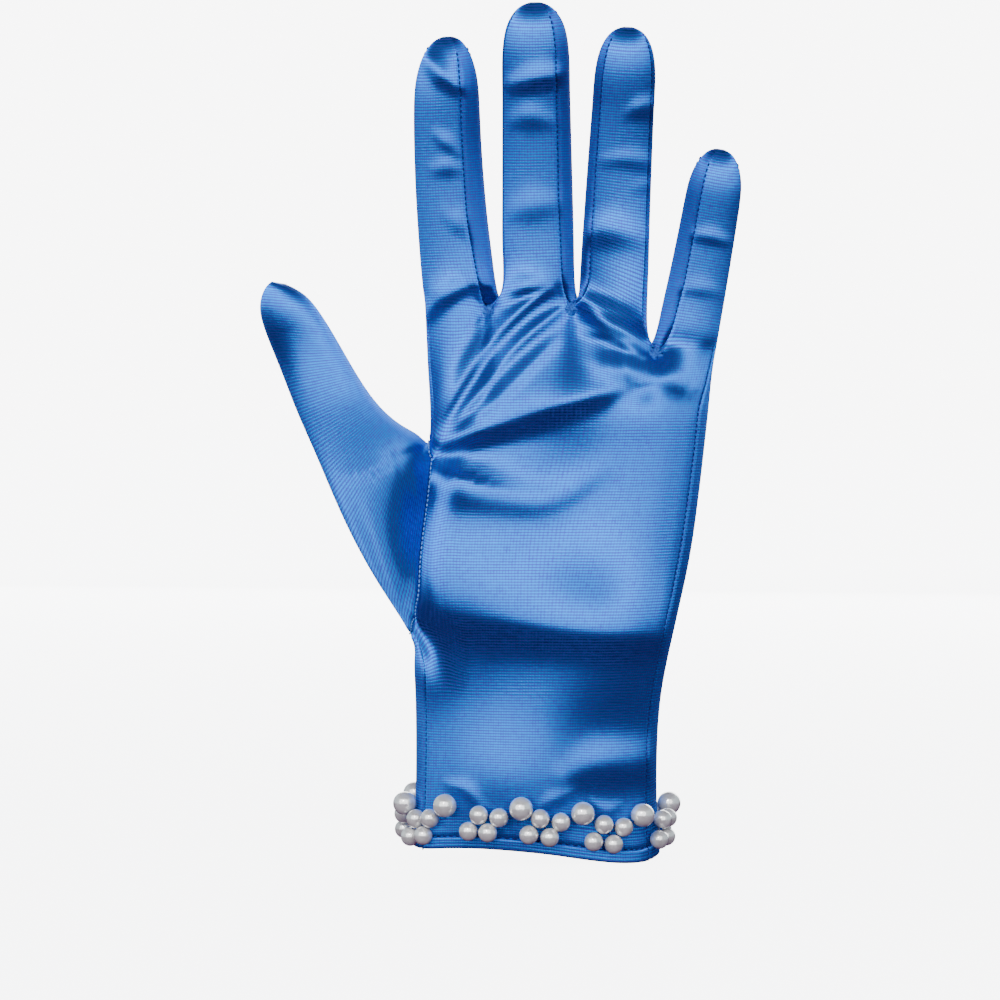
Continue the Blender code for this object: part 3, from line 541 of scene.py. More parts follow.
def curve_through(stroke, pieces=8):
    """Points on a smooth curve through the points of a stroke."""
    p = np.array([(*seen(x, y), s) for x, y, s in stroke])
    p = np.vstack((2 * p[0] - p[1], p, 2 * p[-1] - p[-2]))
    line = []
    for k in range(1, len(p) - 2):
        a, b, c, d = p[k - 1 : k + 3]
        for i in range(pieces):
            t = i / pieces
            bent = (2 * a - 5 * b + 4 * c - d) * t**2 + (3 * b - a - 3 * c + d) * t**3
            line.append(0.5 * (2 * b + (c - a) * t + bent))
    return np.array(line + [p[-2]])


FOLD_REACH, NARROWEST = 3, 0.45  # widths that a fold is felt over, and width left where it is weak
FACING = (0.05, 0.55)  # a fold fades out where the cloth turns away from the front or the back


def fold_height(x, z, folds):
    """How far all the strokes together lift the cloth at places x, z."""
    total = np.zeros(len(x))
    for height, above, below, stroke in folds:
        line = curve_through(stroke)
        felt = FOLD_REACH * max(above, below)
        lo, hi = line[:, :2].min(axis=0) - felt, line[:, :2].max(axis=0) + felt
        near = np.flatnonzero((x > lo[0]) & (x < hi[0]) & (z > lo[1]) & (z < hi[1]))
        px, pz = x[near], z[near]
        best, value = np.full(len(near), 1e9), np.zeros(len(near))
        for (ax, az, sa), (bx, bz, sb) in zip(line, line[1:]):
            dx, dz = bx - ax, bz - az
            t = np.clip(((px - ax) * dx + (pz - az) * dz) / max(dx * dx + dz * dz, 1e-9), 0, 1)
            ox, oz = px - ax - dx * t, pz - az - dz * t
            away = np.hypot(ox, oz)
            up = (dx * oz - dz * ox) > 0
            strength = np.clip(sa + (sb - sa) * t, 0, 1)
            width = np.where(up, above, below) * (NARROWEST + (1 - NARROWEST) * strength)
            closer = away < best
            value = np.where(closer, strength * np.exp(-((away / width) ** 2)), value)
            best = np.where(closer, away, best)
        total[near] += height * value
    return total


front = smooth_step(-out[:, 1], *FACING)
lift = fold_height(skin[:, 0], skin[:, 2], PALM_FOLDS) * front
back = smooth_step(out[:, 1], *FACING)
skin[:, 1] += fold_height(skin[:, 0], skin[:, 2], BACK_FOLDS) * back - lift
print("folds lift the cloth by", round(float(lift.min()), 2), "to", round(float(lift.max()), 2), "mm")

# %% [markdown]
# At the three webs the corners of the pieces meet in a knotted tack, which gathers the cloth round it
# into small pleats. They fan out from the web, alternately up and down, and die out within a few
# millimetres.

# %% Gathers round the webs
PLEATS, PLEAT, PLEAT_START, PLEAT_REACH = 9, 0.3, (0.4, 1.4), 3.2  # count, height, where they start and end
KNOT, KNOT_REACH, KNOT_DROP = 0.5, 1.4, 1.2  # depth and reach of the pull, and how far below the web it is
ON_SIDE = (-0.1, 0.4)  # the gathers fade out where the cloth turns away
tacks = []
for front_x, gap, back_x, z in WEBS:
    for x, side in ((front_x, -1), (back_x, 1)):
        dx, dz = skin[:, 0] - x, skin[:, 2] - (z - KNOT_DROP)
        r, turn = np.hypot(dx, dz), np.arctan2(dx, -dz)
        faces_it = smooth_step(side * out[:, 1], *ON_SIDE) * (side * skin[:, 1] > 0.5)
        fan = smooth_step(r, *PLEAT_START) * np.exp(-((r / PLEAT_REACH) ** 2))
        pleats = PLEAT * np.cos(PLEATS * turn) * fan
        skin[:, 1] += side * faces_it * (pleats - KNOT * np.exp(-((r / KNOT_REACH) ** 2)))
        nearest = np.argmin(r + 100 * (faces_it < 0.3))
        tacks.append((Vector(skin[nearest]), side))
print(len(tacks), "gathered tacks")

# %% [markdown]
# ## Seams and hem
#
# The panels are sewn inside out, so outside a seam is only a fine valley with the cloth rolling into
# it. Its depth falls off within half a millimetre. The hem is the panels' lower edge turned in: it
# stands out a little, with a valley where its row of stitches pulls it in.

# %% Valleys along the seams, and the hem
VALLEY, VALLEY_REACH = 0.58, 0.5  # depth and half width of the valley along a seam
ROLL, ROLL_PLACE = 0.12, 1.1  # height of the roll of cloth beside it, and its distance
TIP_FADE = (3, 12)  # distances from a fingertip between which the valley grows in
HEM_STEP, HEM_OUT = (-0.35, 0.15), 0.35  # where the hem ends, beside HEM, and how far it stands out
PULL, PULL_PLACE, PULL_REACH = 0.25, 0.1, 0.35  # the dip along the hem's stitches
tree = KDTree(int(seam_point.sum()))
seam_index = np.flatnonzero(seam_point)
for k, i in enumerate(seam_index):
    tree.insert(skin[i], k)
tree.balance()
to_seam = np.array([tree.find(p)[2] for p in skin])
out = normals_of(skin, faces)
valley = VALLEY * np.exp(-((to_seam / VALLEY_REACH) ** 2))
valley -= ROLL * np.exp(-(((to_seam - ROLL_PLACE) / VALLEY_REACH) ** 2))
ends = KDTree(len(FINGERS))
for k, f in enumerate(FINGERS):
    ends.insert((f[2], -f[9], f[3]), k)
ends.balance()
to_tip = np.array([ends.find(p)[2] for p in skin])
valley *= smooth_step(to_tip, *TIP_FADE)
on_cuff = in_panel[0] | in_panel[1]
turned = np.where(on_cuff, 1 - smooth_step(cloth_v, HEM + HEM_STEP[0], HEM + HEM_STEP[1]), 0.0)
pulled = np.where(on_cuff, np.exp(-(((cloth_v - HEM + PULL_PLACE) / PULL_REACH) ** 2)), 0.0)
skin = skin - out * (valley - HEM_OUT * turned + PULL * pulled)[:, None]

# %% [markdown]
# ## Panels
#
# The skin is cut along its seams into the six panels of the real glove. Solidify gives each one the
# thickness of the cloth, inwards, and each stands for its CAD node.

# %% Cut the skin into panels
def build_mesh(name, co, polygons):
    mesh = bpy.data.meshes.new(name)
    mesh.from_pydata(co.tolist(), [], polygons.tolist())
    mesh.polygons.foreach_set("use_smooth", np.ones(len(polygons), bool))
    return mesh


panel_objects = {}
for k, name in enumerate(PANELS):
    mine = faces[panel == k]
    used, compact = np.unique(mine, return_inverse=True)
    mesh = build_mesh(name + "_cloth", skin[used] * MM, compact.reshape(-1, 4))
    layer = mesh.uv_layers.new(name="cloth")
    layer.data.foreach_set("uv", (cloth[panel == k] * MM).ravel())
    o = bpy.data.objects.new("satin_" + name, mesh)
    bpy.context.scene.collection.objects.link(o)
    wall = o.modifiers.new("wall", "SOLIDIFY")
    wall.thickness, wall.offset = CLOTH * MM, -1
    panel_objects[name] = o
    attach(o, "root")
    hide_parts(name)
    print(o.name, len(mesh.polygons), "faces")

# %% [markdown]
# Every panel is a sheet of cloth, and `FLAT` lists its flat size. The cloth map gives it: a column of the
# cage is a strip of a fixed width, so the map's area is the area of the cut piece before it is worn and
# stretched. A strip between two fingers is folded in the middle and is twice as long as it looks.

# %% Flat sizes of the six pieces
FLAT = {
    "palm_panel": (84.0, 226.0), "back_panel": (98.0, 230.0), "thumb_panel": (66.0, 90.0),
    "fourchette_index_middle": (11.0, 158.0), "fourchette_middle_ring": (11.0, 158.0),
    "fourchette_ring_little": (11.0, 140.0),
}


def area_of(co, squares):
    a, b, c, d = (co[squares[:, k]] for k in range(4))
    across = np.cross(c - a, d - b)
    return float(np.linalg.norm(across.reshape(len(squares), -1), axis=1).sum() / 2)


for k, name in enumerate(PANELS):
    mine = faces[panel == k]
    worn = area_of(skin, mine)
    flat_map = np.dstack((cloth[panel == k], np.zeros((len(mine), 4, 1)))).reshape(-1, 3)
    cut = area_of(flat_map, np.arange(4 * len(mine)).reshape(-1, 4))
    width, length = FLAT[name]
    share = round(cut / width / length, 2)
    print(name, "cut", round(cut), "mm2, worn", round(worn), "mm2, share of its rectangle", share)

# %% [markdown]
# ## Stitches
#
# The seams show as a dotted line: small stitches of thread that lie in the valley. A node tree turns
# the seam lines of the skin into curves, steps along them and lays a slim capsule at each step. The
# thumb seam has closer and paler stitches than the fingers, and the hem its own row.

# %% Helpers for node trees
def connect(tree, *wires):
    """Links nodes of a tree. A wire is a node, its output, the next node and its input."""
    for source, gives, target, takes in wires:
        tree.links.new(source.outputs[gives], target.inputs[takes])


def group_tree(name, inputs, kind="GeometryNodeTree"):
    tree = bpy.data.node_groups.new(name, kind)
    for way, label, socket in inputs:
        tree.interface.new_socket(label, in_out=way, socket_type=socket)
    return tree, tree.nodes.new("NodeGroupInput"), tree.nodes.new("NodeGroupOutput")


def apply_tree(o, tree, values):
    """Runs a node tree on an object with the named values, and keeps the result as a plain mesh."""
    modifier = o.modifiers.new(tree.name, "NODES")
    modifier.node_group = tree
    for item in tree.interface.items_tree:
        if item.item_type == "SOCKET" and item.in_out == "INPUT" and item.name in values:
            modifier[item.identifier] = values[item.name]
    depsgraph = bpy.context.evaluated_depsgraph_get()
    mesh = bpy.data.meshes.new_from_object(o.evaluated_get(depsgraph), depsgraph=depsgraph)
    o.modifiers.remove(modifier)
    mesh.name = o.name
    o.data = mesh
    return o


# %% Lines that the stitches follow
TIP_GAP, ON_LINE = 6, 0.02  # no stitches this close to a fingertip, and how exactly the hem's row is met
edges = np.concatenate([faces[:, [k, (k + 1) % 4]] for k in range(4)])
owner = np.tile(panel, 4)
order = np.lexsort((np.sort(edges, axis=1)[:, 0], np.sort(edges, axis=1)[:, 1]))
edges, owner = np.sort(edges, axis=1)[order], owner[order]
same = np.all(edges[1:] == edges[:-1], axis=1) & (owner[1:] != owner[:-1])
seam_edges, seam_owner = edges[:-1][same], np.column_stack((owner[:-1][same], owner[1:][same]))
thumb_edge = (seam_owner == PANELS.index("thumb_panel")).any(axis=1)
tip_edge = to_tip[seam_edges].min(axis=1) < TIP_GAP
hem_edges = edges[:-1][np.all(edges[1:] == edges[:-1], axis=1) & on_cuff[edges[:-1]].all(axis=1)]
hem_edges = hem_edges[np.all(np.abs(cloth_v[hem_edges] - HEM) < ON_LINE, axis=1)]
out = normals_of(skin, faces)
print(len(seam_edges), "seam edges,", int(thumb_edge.sum()), "of them round the thumb")
print(len(hem_edges), "edges in the hem's row of stitches")

# %% A node tree for stitches
stitch_tree, given, result = group_tree("stitches", (
    ("INPUT", "Geometry", "NodeSocketGeometry"), ("INPUT", "Pitch", "NodeSocketFloat"),
    ("INPUT", "Size", "NodeSocketVector"), ("INPUT", "Finish", "NodeSocketMaterial"),
    ("OUTPUT", "Geometry", "NodeSocketGeometry"),
))
node = stitch_tree.nodes.new
line, spots = node("GeometryNodeMeshToCurve"), node("GeometryNodeCurveToPoints")
spots.mode = "LENGTH"
lean = node("FunctionNodeAlignRotationToVector")
lean.axis = "Z"
capsule = node("GeometryNodeMeshUVSphere")
capsule.inputs["Segments"].default_value, capsule.inputs["Rings"].default_value = 6, 5
capsule.inputs["Radius"].default_value = 0.5
put, real = node("GeometryNodeInstanceOnPoints"), node("GeometryNodeRealizeInstances")
smooth, finish = node("GeometryNodeSetShadeSmooth"), node("GeometryNodeSetMaterial")
connect(
    stitch_tree,
    (given, "Geometry", line, "Mesh"), (line, "Curve", spots, "Curve"), (given, "Pitch", spots, "Length"),
    (spots, "Tangent", lean, "Vector"), (lean, "Rotation", put, "Rotation"),
    (spots, "Points", put, "Points"), (capsule, "Mesh", put, "Instance"), (given, "Size", put, "Scale"),
    (put, "Instances", real, "Geometry"), (real, "Geometry", smooth, "Geometry"),
    (smooth, "Geometry", finish, "Geometry"), (given, "Finish", finish, "Material"),
    (finish, "Geometry", result, "Geometry"),
)


# %% The rows of stitches
def line_object(name, lines, lift_by):
    used, compact = np.unique(lines, return_inverse=True)
    mesh = bpy.data.meshes.new(name)
    mesh.from_pydata(((skin[used] + out[used] * lift_by) * MM).tolist(), compact.reshape(-1, 2).tolist(), [])
    o = bpy.data.objects.new(name, mesh)
    bpy.context.scene.collection.objects.link(o)
    return o


dark_thread, light_thread = bpy.data.materials.new("seam_thread"), bpy.data.materials.new("thumb_thread")
tack_thread = bpy.data.materials.new("tack_thread")
for name, lines, lift_by, pitch, stitch, thread in (
    ("finger_seam_stitches", seam_edges[~thumb_edge & ~tip_edge], 0.16, 1.5, (0.46, 0.46, 1.0), dark_thread),
    ("thumb_seam_stitches", seam_edges[thumb_edge], 0.24, 1.25, (0.5, 0.5, 1.0), light_thread),
    ("hem_stitches", hem_edges, 0.2, 2.0, (0.42, 0.42, 1.45), dark_thread),
):
    o = line_object(name, lines, lift_by)
    values = {"Pitch": pitch * MM, "Size": tuple(x * MM for x in stitch), "Finish": thread}
    apply_tree(o, stitch_tree, values)
    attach(o, "root")
    print(name, len(o.data.polygons), "faces")

# %% [markdown]
# A tack is a few turns of thread over the gathered corner. Each is a short tube, bent over the lump.
# The table gives the tilt of each turn in degrees and its reach to either side.

# %% Knotted tacks at the webs
TACK_TURNS = ((-60, 2.4), (-30, 2.7), (28, 2.7), (58, 2.4), (-4, 3.0), (84, 2.0), (-78, 1.8))
TACK_THREAD, TACK_STEPS, TACK_SIDES = 0.46, 8, 8  # radius, steps along a turn and sides of its tube
LUMP, STACK = 0.55, 0.12  # how far the first turn stands out, and how much more each next one does
BOW, TAPER = 0.75, 0.35  # how much a turn dips and thins to its ends
wraps = bmesh.new()
for spot, side in tacks:
    for number, (tilt, reach) in enumerate(TACK_TURNS):
        lean = Vector((math.cos(math.radians(tilt)), 0, math.sin(math.radians(tilt))))
        hoops = []
        for k in range(TACK_STEPS + 1):
            t = k / TACK_STEPS * 2 - 1
            out_by = side * (LUMP + STACK * number) * (1 - BOW * t * t)
            c = spot + lean * (t * reach) + Vector((0, out_by, 0))
            width = TACK_THREAD * (1 - TAPER * abs(t) ** 3)
            across = lean.cross(Vector((0, 1, 0)))
            hoop = []
            for j in range(TACK_SIDES):
                a = j * 2 * math.pi / TACK_SIDES
                hoop.append(wraps.verts.new(
                    (c + across * (width * math.cos(a)) + Vector((0, width * math.sin(a), 0))) * MM
                ))
            hoops.append(hoop)
        for a, b in zip(hoops, hoops[1:]):
            for k in range(TACK_SIDES):
                n = (k + 1) % TACK_SIDES
                wraps.faces.new((a[k], a[n], b[n], b[k]))
        wraps.faces.new(hoops[0])
        wraps.faces.new(hoops[-1])
bmesh.ops.recalc_face_normals(wraps, faces=wraps.faces)
mesh = bpy.data.meshes.new("web_tacks")
wraps.to_mesh(mesh)
wraps.free()
mesh.polygons.foreach_set("use_smooth", np.ones(len(mesh.polygons), bool))
web_tacks = bpy.data.objects.new("web_tacks", mesh)
bpy.context.scene.collection.objects.link(web_tacks)
mesh.materials.append(tack_thread)
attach(web_tacks, "root")
print("web_tacks", len(mesh.polygons), "faces")

# %% [markdown]
# ## Pearls
#
# Ten clusters of one large and four smaller pearls sit just off the cuff. Geometry Nodes puts a round
# pearl on each point of a little net, and the attribute `size` of the point scales it. The net's edges
# become the thread that runs from pearl to pearl.

# %% The pearl tree
BIG_PEARL, PEARL, PEARL_GAP, PEARL_LINE = 6.2, 5.0, 0.3, 12.6
PEARL_THREAD = 0.3  # radius of the thread from pearl to pearl
# Place beside the large pearl, place above it, diameter
CLUSTER = (
    (0.0, 0.0, BIG_PEARL),
    (-5.6, -3.0, PEARL), (-11.0, -2.5, PEARL), (-8.6, -7.5, PEARL), (-14.0, -7.3, PEARL),
)
THREADED = ((0, 1), (1, 2), (1, 3), (2, 3), (3, 4), (2, 4))  # pearls of a cluster that share a thread
# Degrees round the wrist from the middle of the palm, and tilt in degrees, of each cluster
CLUSTERS = (
    (-114, 8), (-76, 8), (-43.5, 8), (-7.5, 0), (21, 0), (52, 0), (100, 0), (138, 2), (173, 0), (209, -2),
)

pearl_tree, given, result = group_tree("pearls", (
    ("INPUT", "Geometry", "NodeSocketGeometry"), ("INPUT", "Finish", "NodeSocketMaterial"),
    ("INPUT", "Thread", "NodeSocketMaterial"), ("INPUT", "Thread radius", "NodeSocketFloat"),
    ("OUTPUT", "Geometry", "NodeSocketGeometry"),
))
node = pearl_tree.nodes.new
ball = node("GeometryNodeMeshUVSphere")
ball.inputs["Segments"].default_value, ball.inputs["Rings"].default_value = 32, 20
ball.inputs["Radius"].default_value = 0.5
size = node("GeometryNodeInputNamedAttribute")
size.data_type, size.inputs["Name"].default_value = "FLOAT", "size"
put, real = node("GeometryNodeInstanceOnPoints"), node("GeometryNodeRealizeInstances")
smooth, finish = node("GeometryNodeSetShadeSmooth"), node("GeometryNodeSetMaterial")
strand, profile = node("GeometryNodeMeshToCurve"), node("GeometryNodeCurvePrimitiveCircle")
profile.inputs["Resolution"].default_value = 8
tube, dyed = node("GeometryNodeCurveToMesh"), node("GeometryNodeSetMaterial")
both = node("GeometryNodeJoinGeometry")
connect(
    pearl_tree,
    (given, "Geometry", put, "Points"), (ball, "Mesh", put, "Instance"), (size, "Attribute", put, "Scale"),
    (put, "Instances", real, "Geometry"), (real, "Geometry", smooth, "Geometry"),
    (smooth, "Geometry", finish, "Geometry"), (given, "Finish", finish, "Material"),
    (given, "Geometry", strand, "Mesh"), (given, "Thread radius", profile, "Radius"),
    (strand, "Curve", tube, "Curve"), (profile, "Curve", tube, "Profile Curve"),
    (tube, "Mesh", dyed, "Geometry"), (given, "Thread", dyed, "Material"),
    (finish, "Geometry", both, "Geometry"), (dyed, "Geometry", both, "Geometry"),
    (both, "Geometry", result, "Geometry"),
)


# %% Where the pearls sit
NEAR, WALK, TURN = 0.3, 0.05, 0.02  # columns and radians of the small steps round the cuff


def beside_cuff(q, height, away):
    """The point this far outside the cuff, and the way out."""
    along = palm_point(q + NEAR, height) - palm_point(q - NEAR, height)
    way = Vector((along.y, -along.x, 0)).normalized()
    return palm_point(q, height) + way * away, way


def step_along(q, arc, height, away):
    """The column that is reached after walking this far round the cuff."""
    way, gone = math.copysign(WALK, arc), 0.0
    here = beside_cuff(q, height, away)[0]
    while gone < abs(arc):
        q += way
        there = beside_cuff(q, height, away)[0]
        gone += math.hypot(there.x - here.x, there.y - here.y)
        here = there
    return q


def place_of(degrees):
    """The column that lies in this direction from the middle of the palm."""
    q, turn = HALF / 2, math.radians(degrees)
    way = math.copysign(TURN, turn)
    while abs(math.remainder(direction(q) - turn, 2 * math.pi)) > TURN:
        q += way
    return q


def cluster_points(degrees, tilt):
    """The middle and the diameter of each pearl of a cluster."""
    start = place_of(degrees)
    c, s = math.cos(math.radians(tilt)), math.sin(math.radians(tilt))
    found = []
    for beside, above, diameter in CLUSTER:
        height = PEARL_LINE + beside * s + above * c
        q = step_along(start, beside * c - above * s, height, PEARL / 2 + PEARL_GAP)
        found.append((beside_cuff(q, height, diameter / 2 + PEARL_GAP)[0], diameter))
    return found


pearl_finish = bpy.data.materials.new("pearl")
pearl_finish.use_nodes = True
for number, (degrees, tilt) in enumerate(CLUSTERS, 1):
    found = cluster_points(degrees, tilt)
    mesh = bpy.data.meshes.new(f"pearls_{number:02d}")
    mesh.from_pydata([tuple(p * MM) for p, diameter in found], THREADED, [])
    sizes = mesh.attributes.new("size", "FLOAT", "POINT")
    sizes.data.foreach_set("value", [diameter * MM for p, diameter in found])
    o = bpy.data.objects.new(f"pearls_{number:02d}", mesh)
    bpy.context.scene.collection.objects.link(o)
    apply_tree(o, pearl_tree, {
        "Finish": pearl_finish, "Thread": dark_thread, "Thread radius": PEARL_THREAD * MM,
    })
    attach(o, "root")
    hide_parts(f"pearl_cluster_{number:02d}")
print(len(CLUSTERS), "clusters of", len(CLUSTER), "pearls")

# %% [markdown]
# ## Satin knit
#
# Under a lens the face of the cloth is a grid of tiny shiny loops on a darker ground. The loops mirror
# the lights and the ground between them stays navy, which is why the real cloth turns violet-blue
# where it is dark and almost cyan where it shines. The group `knit_loops` makes that pattern from the
# place on the cloth, so it can be used with other counts and colours in other materials.

# %% A group for the knit
def socket_values(node, values):
    for key, value in values.items():
        node.inputs[key].default_value = value


def math_node(tree, operation, a, b=None, c=None):
    node = tree.nodes.new("ShaderNodeMath")
    node.operation = operation
    for k, x in enumerate((a, b, c)):
        if x is None:
            continue
        if isinstance(x, (int, float)):
            node.inputs[k].default_value = x
        else:
            tree.links.new(x, node.inputs[k])
    return node.outputs[0]


knit, given, result = group_tree("knit_loops", (
    ("INPUT", "Cloth", "NodeSocketVector"), ("INPUT", "Place", "NodeSocketVector"),
    ("INPUT", "Rows per mm", "NodeSocketFloat"), ("INPUT", "Columns per mm", "NodeSocketFloat"),
    ("INPUT", "Ground", "NodeSocketColor"), ("INPUT", "Loop", "NodeSocketColor"),
    ("OUTPUT", "Color", "NodeSocketColor"), ("OUTPUT", "Shine", "NodeSocketFloat"),
    ("OUTPUT", "Roughness", "NodeSocketFloat"), ("OUTPUT", "Height", "NodeSocketFloat"),
), "ShaderNodeTree")
WOBBLE = 2.0  # how far rows and columns wander, in radians
ACROSS, UNEVEN = (0.75, 0.35), (2.6, -0.15)  # strength and offset of the columns and of the yarn's slub
TINT, SHINE, ROUGH = (1.5, 0.18), (0.6, 0.66), (0.10, 0.48)  # the same for what the group puts out
split = knit.nodes.new("ShaderNodeSeparateXYZ")
slub, patch = knit.nodes.new("ShaderNodeTexNoise"), knit.nodes.new("ShaderNodeTexNoise")
socket_values(slub, {"Scale": 850.0, "Detail": 2.0})
socket_values(patch, {"Scale": 55.0, "Detail": 3.0})
connect(knit, (given, "Cloth", split, 0), (given, "Place", slub, "Vector"), (given, "Place", patch, "Vector"))
wobble = math_node(knit, "MULTIPLY", math_node(knit, "SUBTRACT", patch.outputs["Fac"], 0.5), WOBBLE)


def wave(coordinate, count):
    turn = math_node(knit, "MULTIPLY", math_node(knit, "MULTIPLY", coordinate, count), 2 * math.pi * 1000)
    cosine = math_node(knit, "COSINE", math_node(knit, "ADD", turn, wobble))
    return math_node(knit, "MULTIPLY_ADD", cosine, 0.5, 0.5)


rows = wave(split.outputs["Y"], given.outputs["Rows per mm"])
columns = wave(split.outputs["X"], given.outputs["Columns per mm"])
loops = math_node(knit, "MULTIPLY", rows, math_node(knit, "MULTIPLY_ADD", columns, *ACROSS))
loops = math_node(knit, "MULTIPLY", loops, math_node(knit, "MULTIPLY_ADD", slub.outputs["Fac"], *UNEVEN))
mix = knit.nodes.new("ShaderNodeMix")
mix.data_type, mix.clamp_factor = "RGBA", True
link = knit.links.new
link(math_node(knit, "MULTIPLY_ADD", loops, *TINT), mix.inputs["Factor"])
link(math_node(knit, "MULTIPLY_ADD", loops, *SHINE), result.inputs["Shine"])
link(math_node(knit, "MULTIPLY_ADD", patch.outputs["Fac"], *ROUGH), result.inputs["Roughness"])
link(loops, result.inputs["Height"])
connect(knit, (given, "Ground", mix, "A"), (given, "Loop", mix, "B"), (mix, "Result", result, "Color"))


# %% The glove's satin
def satin_material(name, rows_per_mm, columns_per_mm, ground, loop):
    m = bpy.data.materials.new(name)
    m.use_nodes = True
    tree = m.node_tree
    shader = tree.nodes["Principled BSDF"]
    group = tree.nodes.new("ShaderNodeGroup")
    group.node_tree = knit
    socket_values(group, {
        "Rows per mm": rows_per_mm, "Columns per mm": columns_per_mm,
        "Ground": (*ground, 1), "Loop": (*loop, 1),
    })
    on_cloth = tree.nodes.new("ShaderNodeUVMap")
    on_cloth.uv_map = "cloth"
    place = tree.nodes.new("ShaderNodeTexCoord")
    bump = tree.nodes.new("ShaderNodeBump")
    socket_values(bump, {"Strength": 0.16, "Distance": 0.0001})
    along = tree.nodes.new("ShaderNodeTangent")
    along.direction_type, along.uv_map = "UV_MAP", "cloth"
    connect(
        tree,
        (on_cloth, "UV", group, "Cloth"), (place, "Object", group, "Place"),
        (group, "Color", shader, "Base Color"), (group, "Shine", shader, "Metallic"),
        (group, "Roughness", shader, "Roughness"), (group, "Height", bump, "Height"),
        (bump, "Normal", shader, "Normal"), (along, "Tangent", shader, "Tangent"),
    )
    socket_values(shader, {
        "Anisotropic": 1.0, "Sheen Weight": 0.02, "Sheen Roughness": 0.6, "Sheen Tint": (0.6, 0.3, 1.0, 1),
    })
    return m


satin = satin_material("satin_knit", 1.33, 1.2, ground=(0.06, 0.008, 0.40), loop=(0.0, 0.285, 0.92))
# The strips between the fingers are the same knit with closer rows. Their darker ground and loop colours are
# painted shade, for strips whose sides turn away from the light.
strip_satin_painted_shade = satin_material(
    "satin_knit_strips_painted_shade", 1.45, 1.3, ground=(0.05, 0.008, 0.30), loop=(0.0, 0.16, 0.62)
)
for name, o in panel_objects.items():
    o.data.materials.append(strip_satin_painted_shade if name.startswith("fourchette") else satin)

# %% [markdown]
# ## Thread and pearls
#
# Thread is uneven, lighter on its turns and darker between them. Imitation pearls have a nacre lacquer:
# a smooth coat over soft cloudy patches of silver and grey. One group, `cloudy`, gives the threads and
# the pearls their uneven colour, each at its own scale.

# %% A group for cloudy colour
cloudy, given, result = group_tree("cloudy", (
    ("INPUT", "Place", "NodeSocketVector"), ("INPUT", "Scale", "NodeSocketFloat"),
    ("INPUT", "Low", "NodeSocketColor"), ("INPUT", "High", "NodeSocketColor"),
    ("OUTPUT", "Color", "NodeSocketColor"), ("OUTPUT", "Cloud", "NodeSocketFloat"),
), "ShaderNodeTree")
cloud = cloudy.nodes.new("ShaderNodeTexNoise")
socket_values(cloud, {"Detail": 3.0, "Roughness": 0.6})
blend = cloudy.nodes.new("ShaderNodeMix")
blend.data_type = "RGBA"
spread = math_node(cloudy, "MULTIPLY_ADD", cloud.outputs["Fac"], 2.4, -0.7)
cloudy.links.new(spread, blend.inputs["Factor"])
connect(
    cloudy,
    (given, "Place", cloud, "Vector"), (given, "Scale", cloud, "Scale"),
    (given, "Low", blend, "A"), (given, "High", blend, "B"),
    (blend, "Result", result, "Color"), (cloud, "Fac", result, "Cloud"),
)


# %% Thread and pearl materials
def cloudy_material(m, scale, low, high, bumps, values):
    m.use_nodes = True
    tree = m.node_tree
    shader = tree.nodes["Principled BSDF"]
    socket_values(shader, values)
    group, place = tree.nodes.new("ShaderNodeGroup"), tree.nodes.new("ShaderNodeTexCoord")
    group.node_tree = cloudy
    socket_values(group, {"Scale": scale, "Low": (*low, 1), "High": (*high, 1)})
    bump = tree.nodes.new("ShaderNodeBump")
    socket_values(bump, {"Strength": bumps, "Distance": 0.0001})
    connect(
        tree,
        (place, "Object", group, "Place"), (group, "Color", shader, "Base Color"),
        (group, "Cloud", bump, "Height"), (bump, "Normal", shader, "Normal"),
    )


for thread, scale, low, high, bumps, rough, specular in (
    (dark_thread, 2500.0, (0.004, 0.008, 0.06), (0.006, 0.03, 0.20), 0.6, 0.6, 0.15),
    (tack_thread, 1400.0, (0.01, 0.02, 0.16), (0.02, 0.16, 0.62), 0.5, 0.6, 0.15),
    (light_thread, 2500.0, (0.03, 0.12, 0.5), (0.16, 0.42, 0.9), 0.6, 0.5, 0.3),
):
    cloudy_material(thread, scale, low, high, bumps, {"Roughness": rough, "Specular IOR Level": specular})
cloudy_material(pearl_finish, 420.0, (0.62, 0.60, 0.59), (0.88, 0.87, 0.86), 0.05, {
    "Metallic": 0.5, "Roughness": 0.2, "Coat Weight": 1.0, "Coat Roughness": 0.06, "IOR": 1.6,
})

# %% [markdown]
# ## Floor, light and camera
#
# A pale floor, a large soft light in front and above, one behind for the other views and a small one
# for the sparkle. Satin needs something dark to mirror as well, or its folds would vanish. So the room
# that it mirrors is a pale wall between a dark ground and a dark ceiling, and the floor is kept out of
# its reflections. Only the camera sees the bright backdrop.

# %% Floor
FLOOR_REACH = 60  # metres, so that its edge is never seen
floor_mesh = bpy.data.meshes.new("floor")
floor_mesh.from_pydata([
    (-FLOOR_REACH, -FLOOR_REACH, 0), (FLOOR_REACH, -FLOOR_REACH, 0),
    (FLOOR_REACH, FLOOR_REACH, 0), (-FLOOR_REACH, FLOOR_REACH, 0),
], [], [(0, 1, 2, 3)])
floor = bpy.data.objects.new("floor", floor_mesh)
bpy.context.scene.collection.objects.link(floor)
pale = bpy.data.materials.new("pale_floor")
pale.use_nodes = True
tree = pale.node_tree
node = tree.nodes.new
shader = tree.nodes["Principled BSDF"]
socket_values(shader, {
    "Base Color": (0.45, 0.45, 0.46, 1), "Roughness": 0.9, "Emission Color": (0.98, 0.985, 1, 1),
})
place, away, glow = node("ShaderNodeTexCoord"), node("ShaderNodeVectorMath"), node("ShaderNodeMapRange")
away.operation = "LENGTH"
socket_values(glow, {"From Min": 0.1, "From Max": 2.2, "To Min": 6.5, "To Max": 7.9})
connect(
    tree,
    (place, "Object", away, 0), (away, "Value", glow, "Value"), (glow, "Result", shader, "Emission Strength"),
)
